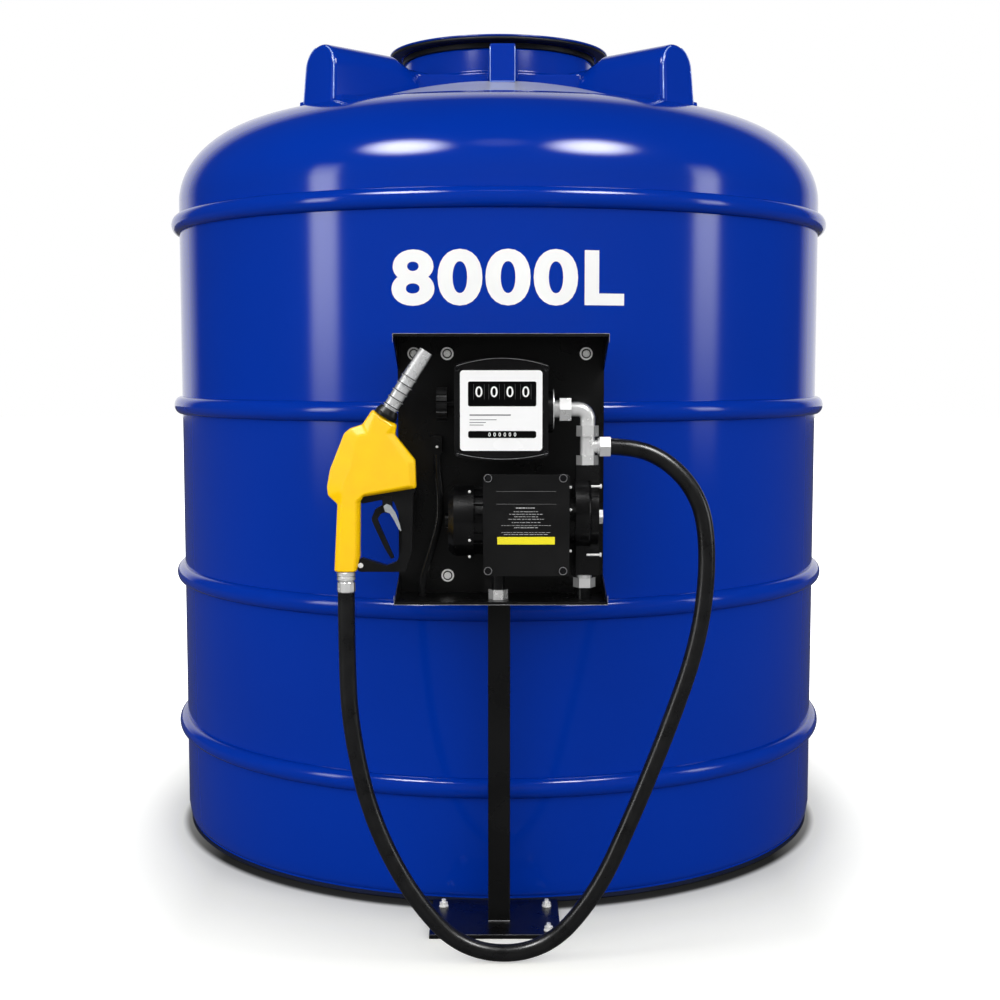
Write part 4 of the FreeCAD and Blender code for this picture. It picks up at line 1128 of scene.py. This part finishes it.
    def tab(self) -> None:
        """Hasp tab in front of the neck: a plate on a wider, shorter plate, with painted highlight
        lines round its front.
        """
        back = plate("tab_back", rounded([(-0.036, 2.420), (0.061, 2.420), (0.058, 2.512),
                                          (-0.033, 2.512)], 0.008, 4), 0.022,
                     Matrix.Translation((0, -0.352, 0)) @ Matrix.Rotation(math.pi / 2, 4, "X"))
        front = plate("tab_front", rounded([(-0.027, 2.407), (0.052, 2.407), (0.0525, 2.529),
                                            (-0.0275, 2.529)], 0.006, 4), 0.028,
                      Matrix.Translation((0, -0.374, 0)) @ Matrix.Rotation(math.pi / 2, 4, "X"))
        obj = new_piece("hasp_plates", joined("hasp_plates", [back, front]), TANK_BLUE,
                        stands_for=("hasp_tab",))
        soften(obj, 4.0, 4, 50)
        spots = ((-0.0262, -0.4012, 2.520), (-0.0262, -0.4012, 2.412), (0.0512, -0.4012, 2.412),
                 (0.0512, -0.4012, 2.520))
        lines = [bar("edge", a, b, 0.0015) for a, b in zip(spots, spots[1:])]
        new_piece("hasp_highlight_lines", joined("hasp_highlight_lines", lines), TANK_HIGHLIGHT)

    def build(self) -> None:
        """Builds the whole shell."""
        self.shell()
        self.roof()
        self.manhole()
        self.lid()
        self.lugs()
        self.tab()
        # The tank's floor takes the painted shade of its underside
        smooth(dress(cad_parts["tank_floor"], FOOT_SHADE))


@dataclass
class CapacityMark:
    """White figures on the wall that give the capacity in litres."""

    radius: float = 1.0706
    level: float = 1.764
    shift: float = 0.028
    height: float = 0.139
    width: float = 0.655

    def build(self) -> None:
        """Cuts the figures finely and lays them on the round wall."""
        mesh = lettering("capacity_figures", "8000L", self.height, 0.0075, spacing=1.1)
        xs = [v.co.x for v in mesh.vertices]
        factor = self.width / (max(xs) - min(xs))
        work = bmesh.new()
        work.from_mesh(mesh)
        for k in range(-40, 41):
            x = k * 0.0125 / factor
            geometry = work.verts[:] + work.edges[:] + work.faces[:]
            bmesh.ops.bisect_plane(work, geom=geometry, plane_co=(x, 0, 0), plane_no=(1, 0, 0))
        for vert in work.verts:
            angle = (vert.co.x * factor + self.shift) / self.radius
            vert.co = Vector((self.radius * math.sin(angle), -self.radius * math.cos(angle),
                              self.level + vert.co.y))
        work.to_mesh(mesh)
        work.free()
        new_piece("capacity_figures", mesh, MARK_WHITE)


@dataclass
class PumpStand:
    """Foot plate, post, folded panel and the screws that hold it."""

    screw_spots: tuple[Triple, ...] = (
        (-0.223, -1.238, 1.554), (-0.135, -1.238, 1.554), (0.232, -1.238, 1.554),
        (-0.135, -1.242, 0.965))

    def sheets(self) -> None:
        """Dresses the welded and folded steel."""
        for name, width in (("panel", 1.4), ("mounting_plate", 1.2), ("nozzle_holder", 0.8),
                            ("stand_post", 2.5)):
            soften(smooth(dress(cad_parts[name], POWDER_BLACK)), width)
        soften(smooth(dress(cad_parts["base_plate"], POWDER_GLOSS)), 1.5, 3)
        soften(smooth(dress(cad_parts["anchor_bolts"], ZINC)), 0.8)

    def screws(self) -> None:
        """Button-head screws with a sealing washer, seen as rings of metal and rubber."""
        metal: list[bpy.types.Mesh] = []
        rubber: list[bpy.types.Mesh] = []
        for i, (x, y, z) in enumerate(self.screw_spots):
            place = facing_front(x, y, z)
            washer = rounded([(0.0125, 0.0), (0.017, 0.0), (0.017, 0.002), (0.0125, 0.002)],
                             0.0006, 2)
            metal.append(lathe(f"washer_{i}", washer, 48, sweep=place))
            head = [(0.0, 0.001), (0.0095, 0.001), (0.0095, 0.006), (0.0085, 0.0082),
                    (0.006, 0.009), (0.0042, 0.009), (0.0042, 0.006), (0.0, 0.006)]
            metal.append(lathe(f"head_{i}", head, 36, closed=False, sweep=place))
            ring = rounded([(0.0, 0.0), (0.0125, 0.0), (0.0125, 0.0032), (0.0, 0.0032)], 0.0008, 2)
            rubber.append(lathe(f"ring_{i}", ring, 48, sweep=place))
        new_piece("sealing_washers", joined("sealing_washers", metal), ZINC,
                  stands_for=("panel_screws",))
        new_piece("washer_rubber", joined("washer_rubber", rubber), SEAL_RUBBER)

    def stand_highlight_lines(self) -> None:
        """Bright painted highlight lines along the folded lips, the foot plate's front edge and the
        post's foot.
        """
        lines = (((-0.2650, -1.4376, 1.6024), (0.2788, -1.4376, 1.6024), 0.0007),
                 ((-0.2650, -1.4376, 0.9157), (0.2788, -1.4376, 0.9157), 0.0008),
                 ((-0.2650, -1.4376, 0.9165), (-0.2650, -1.4376, 0.9390), 0.0007),
                 ((0.2788, -1.4376, 0.9165), (0.2788, -1.4376, 0.9390), 0.0007),
                 ((-0.2650, -1.4376, 1.5800), (-0.2650, -1.4376, 1.6015), 0.0006),
                 ((0.2788, -1.4376, 1.5800), (0.2788, -1.4376, 1.6015), 0.0006),
                 ((-0.1835, -1.3315, 0.0112), (0.1655, -1.3315, 0.0112), 0.0007),
                 ((-0.0275, -1.2352, 0.0135), (0.0315, -1.2352, 0.0135), 0.0012))
        meshes = [bar(f"line_{i}", start, end, radius)
                  for i, (start, end, radius) in enumerate(lines)]
        new_piece("stand_highlight_lines", joined("stand_highlight_lines", meshes), HIGHLIGHT_GREY)

    def build(self) -> None:
        """Builds the stand."""
        self.sheets()
        self.screws()
        self.stand_highlight_lines()


@dataclass
class FlowMeter:
    """Counter with its white face, two windows, corner screws and the reset knob."""

    face_y: float = -1.3872
    middle: float = 0.0075
    digits: tuple[float, ...] = (-0.0492, -0.0105, 0.0298, 0.0702)

    def window(self, name: str, low: float, high: float, radius: float) -> None:
        """Lays a dark window on the face.

        Args:
            name: name of the piece.
            low: its lower edge.
            high: its upper edge.
            radius: radius of its corners.
        """
        mesh = plate(name, rectangle(0.174, high - low, radius, 6), 0.0008,
                     facing_front(self.middle + 0.0025, self.face_y + 0.0002, (low + high) / 2))
        new_piece(name, mesh, WINDOW_BLACK)

    def figures(self, name: str, places: list[float], level: float, height: float,
                thicken: float, squeeze: float) -> None:
        """Sets a row of noughts on a window."""
        meshes = []
        for i, x in enumerate(places):
            mesh = lettering(f"{name}_{i}", "0", height, thicken, squeeze)
            mesh.transform(facing_front(x, self.face_y - 0.0009, level))
            meshes.append(mesh)
        new_piece(name, joined(name, meshes), DIGIT_WHITE)

    def drums(self) -> None:
        """Thin frames round the four large figures, as the counter's drums show them."""
        meshes = []
        for i, x in enumerate(self.digits):
            for side in (-1, 1):
                frame_bar = plate(f"bar_{i}_{side}", rectangle(0.0008, 0.038), 0.0003,
                                  facing_front(x + side * 0.0135, self.face_y - 0.0006, 1.456))
                meshes.append(frame_bar)
        new_piece("drum_frames", joined("drum_frames", meshes), FRAME_GREY)

    def corner_screws(self) -> None:
        """Four dark socket screws in the corners of the housing."""
        meshes = []
        for i, x in enumerate((-0.1045, 0.1232)):
            for k, z in enumerate((1.2985, 1.5140)):
                head = [(0.0, -0.003), (0.0026, -0.003), (0.0034, 0.0002), (0.0048, 0.0008),
                        (0.0062, 0.0012), (0.0068, 0.0004), (0.0070, -0.003)]
                meshes.append(lathe(f"socket_{i}_{k}", head, 28, closed=False,
                                    sweep=facing_front(x, -1.385, z)))
        new_piece("meter_screws", joined("meter_screws", meshes), BLACK_STEEL)

    def rim_highlight(self) -> None:
        """Thin painted highlight line along the arch over the face and along the belly under it."""
        meshes = []
        for j, (level, rise) in enumerate(((1.5215, 0.0195), (1.2990, -0.0150))):
            spots = []
            for i in range(13):
                share = i / 12 * 2 - 1
                spots.append((0.0105 + share * 0.1170, -1.3852,
                              level + rise * (1 - share ** 2)))
            meshes += [bar(f"rim_{j}_{i}", a, b, 0.0006)
                       for i, (a, b) in enumerate(zip(spots, spots[1:]))]
        new_piece("meter_rim_highlight", joined("meter_rim_highlight", meshes), HIGHLIGHT_GREY)

    def rules(self) -> None:
        """Four thin dark rules on the white face, where the photograph has small print."""
        spots = ((-0.0732, 0.0320, 1.3968, 0.0028), (-0.0732, -0.0043, 1.3847, 0.0016),
                 (-0.0732, -0.0318, 1.3777, 0.0016), (-0.0732, -0.0375, 1.3713, 0.0016))
        meshes = [plate(f"face_rule_{i}", rectangle(right - left, tall), 0.0002,
                        facing_front((left + right) / 2, self.face_y - 0.0001, level))
                  for i, (left, right, level, tall) in enumerate(spots)]
        new_piece("face_rules", joined("face_rules", meshes), RULE_DARK)

    def build(self) -> None:
        """Builds the counter."""
        soften(smooth(dress(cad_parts["meter_housing"], CAST_BLACK)), 5.0, 4)
        soften(smooth(dress(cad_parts["meter_face"], DIAL_WHITE)), 1.0)
        soften(smooth(dress(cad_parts["reset_knob"], NYLON_BLACK)), 1.2)
        self.window("counter_window", 1.4190, 1.4822, 0.0055)
        self.window("total_window", 1.3382, 1.3562, 0.0065)
        self.figures("counter_figures", list(self.digits), 1.4560, 0.0270, 0.0002, 1.02)
        self.figures("total_figures", [-0.0222 + 0.0130 * i for i in range(6)], 1.3472, 0.0095,
                     0.0002, 0.95)
        self.drums()
        self.corner_screws()
        self.rim_highlight()
        self.rules()


@dataclass
class Fittings:
    """Nickel-plated elbow, tee, nuts and unions, with the black pipes between them."""

    line: tuple[float, float] = (-1.330, 1.410)

    def flange(self) -> None:
        """Thin bright disc between the meter's port and its nut."""
        turn = Matrix.Translation((0.1405, self.line[0], self.line[1])) @ Matrix.Rotation(
            math.pi / 2, 4, "Y")
        profile = rounded([(0.026, 0.0), (0.0535, 0.0), (0.0535, 0.0030), (0.026, 0.0030)],
                          0.0008, 2)
        new_piece("port_washer", lathe("port_washer", profile, 72, sweep=turn), NICKEL)

    def build(self) -> None:
        """Dresses the fittings."""
        for name in ("elbow_nut", "union_nut", "tee", "tee_lower_nut", "hose_ferrule",
                     "pump_plug", "outlet_union", "inlet_union", "elbow"):
            soften(smooth(dress(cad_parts[name], NICKEL)), 1.2, 3)
        for name in ("outlet_pipe", "inlet_pipe"):
            smooth(dress(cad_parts[name], CAST_BLACK))
        self.flange()


@dataclass
class TransferPump:
    """Pump head, casting, motor with fins and end cap, switch box, and their screws."""

    cover_y: float = -1.470
    label_x: float = 0.0700
    screw_xs: Point = (-0.0258, 0.1630)
    screw_zs: Point = (1.0070, 1.2412)
    rule_seed: int = 7
    # Small bright heads: motor end cap, casting's edge, cable clip
    small_heads: tuple[Triple, ...] = (
        (-0.0727, -1.4270, 1.2040), (-0.0729, -1.4275, 1.0800), (-0.0730, -1.4262, 1.0380),
        (0.1835, -1.4220, 1.2150), (0.1840, -1.4222, 1.1576), (0.1838, -1.4222, 1.0523),
        (-0.1610, -1.2800, 1.3100))
    # Level, height and half length of each row of broken rules
    rule_rows: tuple[Triple, ...] = (
        (1.1664, 0.0026, 0.026), (1.1570, 0.0013, 0.031), (1.1506, 0.0013, 0.042),
        (1.1443, 0.0013, 0.030), (1.1380, 0.0013, 0.044), (1.1298, 0.0013, 0.036),
        (1.1222, 0.0009, 0.062), (1.1166, 0.0016, 0.030), (1.1046, 0.0009, 0.062),
        (1.0995, 0.0013, 0.056))

    def castings(self) -> None:
        """Dresses the cast and moulded parts."""
        for name, finish, width in (
                ("pump_head", CAST_BLACK, 2.5), ("pump_casting", CAST_BLACK, 4.0),
                ("motor_body", CAST_BLACK, 1.0), ("motor_end_cap", CAST_BLACK, 3.0),
                ("terminal_box", ABS_BLACK, 2.5), ("terminal_cover", ABS_BLACK, 2.8),
                ("cable_clip", NYLON_BLACK, 1.5)):
            soften(smooth(dress(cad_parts[name], finish)), width)
        smooth(dress(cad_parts["power_cable"], CABLE_JACKET), 60)

    def cover(self) -> None:
        """Label field of the box: long thin rules, broken pale rules and a plain strip."""
        strip = plate("yellow_strip", rectangle(0.1445, 0.0190, 0.0010), 0.0004,
                      facing_front(self.label_x, self.cover_y, 1.0838))
        new_piece("yellow_strip", strip, STRIP_YELLOW)
        long_rules = [plate(f"rule_{i}", rectangle(0.150, 0.0009), 0.0003,
                            facing_front(0.0705, self.cover_y, level))
                      for i, level in enumerate((1.2080, 1.1760))]
        new_piece("label_rules", joined("label_rules", long_rules), RULE_GREY)
        chance = random.Random(self.rule_seed)
        dashes = []
        for row, (level, tall, reach) in enumerate(self.rule_rows):
            x, end = self.label_x - reach, self.label_x + reach
            while x < end - 0.003:
                wide = min(chance.uniform(0.003, 0.011), end - x)
                dashes.append(plate(f"dash_{row}_{len(dashes)}", rectangle(wide, tall), 0.0002,
                                    facing_front(x + wide / 2, self.cover_y, level)))
                x += wide + chance.uniform(0.0012, 0.0030)
        new_piece("label_dashes", joined("label_dashes", dashes), PRINT_PALE)
        # Painted highlight lines along the cover's right and top edges
        edges = [bar("cover_right", (0.1776, -1.4688, 1.000), (0.1776, -1.4688, 1.246), 0.0011),
                 bar("cover_top", (-0.0340, -1.4688, 1.2486), (0.1750, -1.4688, 1.2486), 0.0009)]
        new_piece("cover_highlight_lines", joined("cover_highlight_lines", edges), HIGHLIGHT_GREY)

    def screws(self) -> None:
        """Countersunk screws in the cover's corners, with a raised collar round each."""
        meshes = []
        for i, x in enumerate(self.screw_xs):
            for k, z in enumerate(self.screw_zs):
                profile = [(0.0, 0.0012), (0.0055, 0.0012), (0.0062, 0.0002), (0.0078, 0.0002),
                           (0.0086, 0.0022), (0.0102, 0.0022), (0.0108, 0.0)]
                meshes.append(lathe(f"collar_{i}_{k}", profile, 32, closed=False,
                                    sweep=facing_front(x, self.cover_y, z)))
        new_piece("cover_screw_heads", joined("cover_screw_heads", meshes), BLACK_STEEL,
                  stands_for=("cover_screws",))
        # Lighter ring on each collar: painted highlight
        rim = rounded([(0.0086, 0.0016), (0.0102, 0.0016), (0.0102, 0.0027), (0.0086, 0.0027)],
                      0.0003, 1)
        rims = [lathe(f"rim_{i}_{k}", rim, 32, sweep=facing_front(x, self.cover_y, z))
                for i, x in enumerate(self.screw_xs) for k, z in enumerate(self.screw_zs)]
        new_piece("cover_screw_highlight_rims", joined("cover_screw_highlight_rims", rims), COLLAR_HIGHLIGHT_GREY)

    def bright_tips(self) -> None:
        """Bright through-bolts of the pump head, the motor's end cap and the cable clip."""
        meshes = []
        along = Matrix.Rotation(math.pi / 2, 4, "Y")
        for i, (x, z, long) in enumerate(((0.2360, 1.2170, 0.0260), (0.2250, 1.0420, 0.0370))):
            profile = rounded([(0.0, 0.0), (0.0030, 0.0), (0.0030, long), (0.0, long)], 0.001, 2)
            place = Matrix.Translation((x, -1.4205, z))
            meshes.append(lathe(f"bolt_{i}", profile, 20, sweep=place @ along))
            tip = rounded([(0.0, 0.0), (0.0058, 0.0), (0.0058, 0.005), (0.0, 0.005)], 0.001, 2)
            meshes.append(lathe(f"tip_{i}", tip, 6, sweep=Matrix.Translation(
                (x + long - 0.004, -1.4205, z)) @ along))
        head = [(0.0, 0.0), (0.0036, 0.0), (0.0036, 0.002), (0.0024, 0.0032), (0.0, 0.0032)]
        for i, (x, y, z) in enumerate(self.small_heads):
            meshes.append(lathe(f"small_{i}", head, 20, closed=False, sweep=facing_front(x, y, z)))
        new_piece("through_bolts", joined("through_bolts", meshes), ZINC)

    def build(self) -> None:
        """Builds the pump."""
        self.castings()
        self.cover()
        self.screws()
        self.bright_tips()


@dataclass
class HandNozzle:
    """Moulded yellow cover, guard, lever, latch, collar, ringed spout, bolt and swivel."""

    # Side view in metres: across from the hose's axis, up from the cover's lower end
    origin: Triple = (-0.390, -1.400, 0.997)
    # Each corner of the cover: its outline, then the same corner on the raised face
    cover_corners: tuple[tuple[float, float, float, float], ...] = (
        (0.0710, 0.4150, 0.0790, 0.4040), (0.1320, 0.3765, 0.1240, 0.3725),
        (0.1280, 0.3500, 0.1090, 0.3540), (0.1790, 0.2860, 0.1620, 0.2780),
        (0.1810, 0.2140, 0.1660, 0.2205), (0.0440, 0.1920, 0.0500, 0.2000),
        (0.0390, 0.1740, 0.0285, 0.1800), (0.0370, 0.0380, 0.0270, 0.0380),
        (0.0280, 0.0005, 0.0230, 0.0005), (-0.0290, 0.0005, -0.0170, 0.0005),
        (-0.0200, 0.1740, -0.0080, 0.1780), (-0.0440, 0.1960, -0.0090, 0.2080),
        (-0.0460, 0.2180, -0.0030, 0.2330), (-0.0380, 0.2620, 0.0140, 0.2700),
        (-0.0010, 0.3550, 0.0300, 0.3420), (0.0140, 0.3670, 0.0360, 0.3480),
        (0.0450, 0.3770, 0.0600, 0.3520))
    half: float = 0.0265
    waist: float = 0.0140

    def spot(self, x: float, z: float, off: float) -> Triple:
        """A point of the side view, moved off the middle plane towards the front."""
        return self.origin[0] + x, self.origin[1] - off, self.origin[2] + z

    def cover(self) -> None:
        """Faceted shell: a waist round the outline and a raised face on each side."""
        work = bmesh.new()
        rings = []
        for off in (self.half, self.waist, -self.waist, -self.half):
            inner = abs(off) == self.half
            rings.append([work.verts.new(self.spot(c[2 if inner else 0], c[3 if inner else 1],
                                                   off)) for c in self.cover_corners])
        count = len(self.cover_corners)
        for near, far in zip(rings, rings[1:]):
            for i in range(count):
                n = (i + 1) % count
                work.faces.new((near[i], near[n], far[n], far[i]))
        work.faces.new(rings[0])
        work.faces.new(rings[-1][::-1])
        obj = new_piece("nozzle_cover", made_mesh("nozzle_cover", work), COVER_YELLOW,
                        stands_for=("nozzle_body",))
        soften(smooth(obj, 60), 5.0, 4, 8)

    def spout(self) -> None:
        """Turned tube with five thin rings and a bore at its mouth, with a band of painted shade
        beside each ring.
        """
        profile: list[Point] = [(0.0, 0.0), (0.0195, 0.0)]
        shade_bands = []
        levels = [0.0045 + 0.0215 * i for i in range(5)]
        for z in levels:
            profile += [(0.0195, z), (0.0228, z + 0.0004), (0.0228, z + 0.0024),
                        (0.0195, z + 0.0028)]
        profile += [(0.0195, 0.158), (0.0182, 0.173), (0.0155, 0.173), (0.0155, 0.130),
                    (0.0, 0.130)]
        lean = math.radians(32.5)
        seat = Vector(self.spot(0.1015 + 0.024 * math.sin(lean),
                                0.3960 + 0.024 * math.cos(lean), 0.0))
        turn = Matrix.Translation(seat) @ Matrix.Rotation(lean, 4, "Y")
        tube = lathe("spout_tube", profile, 72, closed=False, sweep=turn)
        new_piece("spout_tube", tube, SPOUT_ALLOY, stands_for=("nozzle_spout",))
        # Dark band beside each ring: painted shade
        for i, z in enumerate(levels):
            band = rounded([(0.0185, z + 0.0030), (0.0199, z + 0.0030), (0.0199, z + 0.0052),
                            (0.0185, z + 0.0052)], 0.0002, 1)
            shade_bands.append(lathe(f"shade_band_{i}", band, 72, sweep=turn))
        new_piece("spout_shade_bands", joined("spout_shade_bands", shade_bands), BLACK_STEEL)

    def swivel(self) -> None:
        """Two ridged barrels with a waist between them, below the cover."""
        x, y, z = self.origin
        profile = [(0.0, -0.0535), (0.0215, -0.0535), (0.0235, -0.0515), (0.0235, -0.0290),
                   (0.0222, -0.0275), (0.0205, -0.0270), (0.0205, -0.0235), (0.0232, -0.0228),
                   (0.0242, -0.0210), (0.0242, -0.0150), (0.0228, -0.0135), (0.0228, -0.0120),
                   (0.0242, -0.0105), (0.0242, -0.0030), (0.0230, -0.0015), (0.0230, 0.0),
                   (0.0, 0.0)]
        mesh = lathe("swivel_barrel", profile, 72, closed=False)
        flats = 12
        for vert in mesh.vertices:
            if -0.052 < vert.co.z < -0.028 and math.hypot(vert.co.x, vert.co.y) > 0.0234:
                angle = math.atan2(vert.co.y, vert.co.x) % (2 * math.pi / flats)
                cut = math.cos(math.pi / flats) / math.cos(angle - math.pi / flats)
                vert.co.x *= cut
                vert.co.y *= cut
        mesh.transform(Matrix.Translation((x, y, z)))
        mesh.shade_smooth()
        mesh.set_sharp_from_angle(angle=math.radians(18))
        new_piece("swivel_barrel", mesh, NICKEL, stands_for=("nozzle_swivel",))

    def build(self) -> None:
        """Builds the cover and swivel, dresses the rest and adds the guard's bolt."""
        self.cover()
        self.swivel()
        soften(smooth(dress(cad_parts["nozzle_guard"], NYLON_BLACK)), 1.5)
        soften(smooth(dress(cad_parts["nozzle_trigger"], NYLON_BLACK)), 1.5)
        soften(smooth(dress(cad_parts["nozzle_latch"], LATCH_GREY)), 0.5)
        soften(smooth(dress(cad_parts["nozzle_collar"], NYLON_BLACK)), 1.5)
        self.spout()
        head = rounded([(0.0, 0.0), (0.0068, 0.0), (0.0068, 0.003), (0.0, 0.0042)], 0.0012, 2)
        bolt = lathe("guard_bolt", head, 24, sweep=facing_front(-0.3515, -1.412, 1.0135))
        boss = lathe("latch_boss", [(0.0, 0.0), (0.0070, 0.0), (0.0070, 0.0016), (0.0058, 0.0024),
                                    (0.0, 0.0024)], 28,
                     sweep=facing_front(-0.2825, -1.4145, 1.1605))
        new_piece("guard_bolt", joined("guard_bolt", [bolt, boss]), ZINC)


def main() -> None:
    """Builds camera, hose and then each sub-assembly in order."""
    logging.basicConfig(level=logging.INFO, format="%(message)s")
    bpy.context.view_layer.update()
    for part in (Studio(), DispensingHose(), TankShell(), CapacityMark(), PumpStand(),
                 FlowMeter(), Fittings(), TransferPump(), HandNozzle()):
        part.build()
        log.info("%s done", type(part).__name__)


if __name__ == "__main__":
    main()
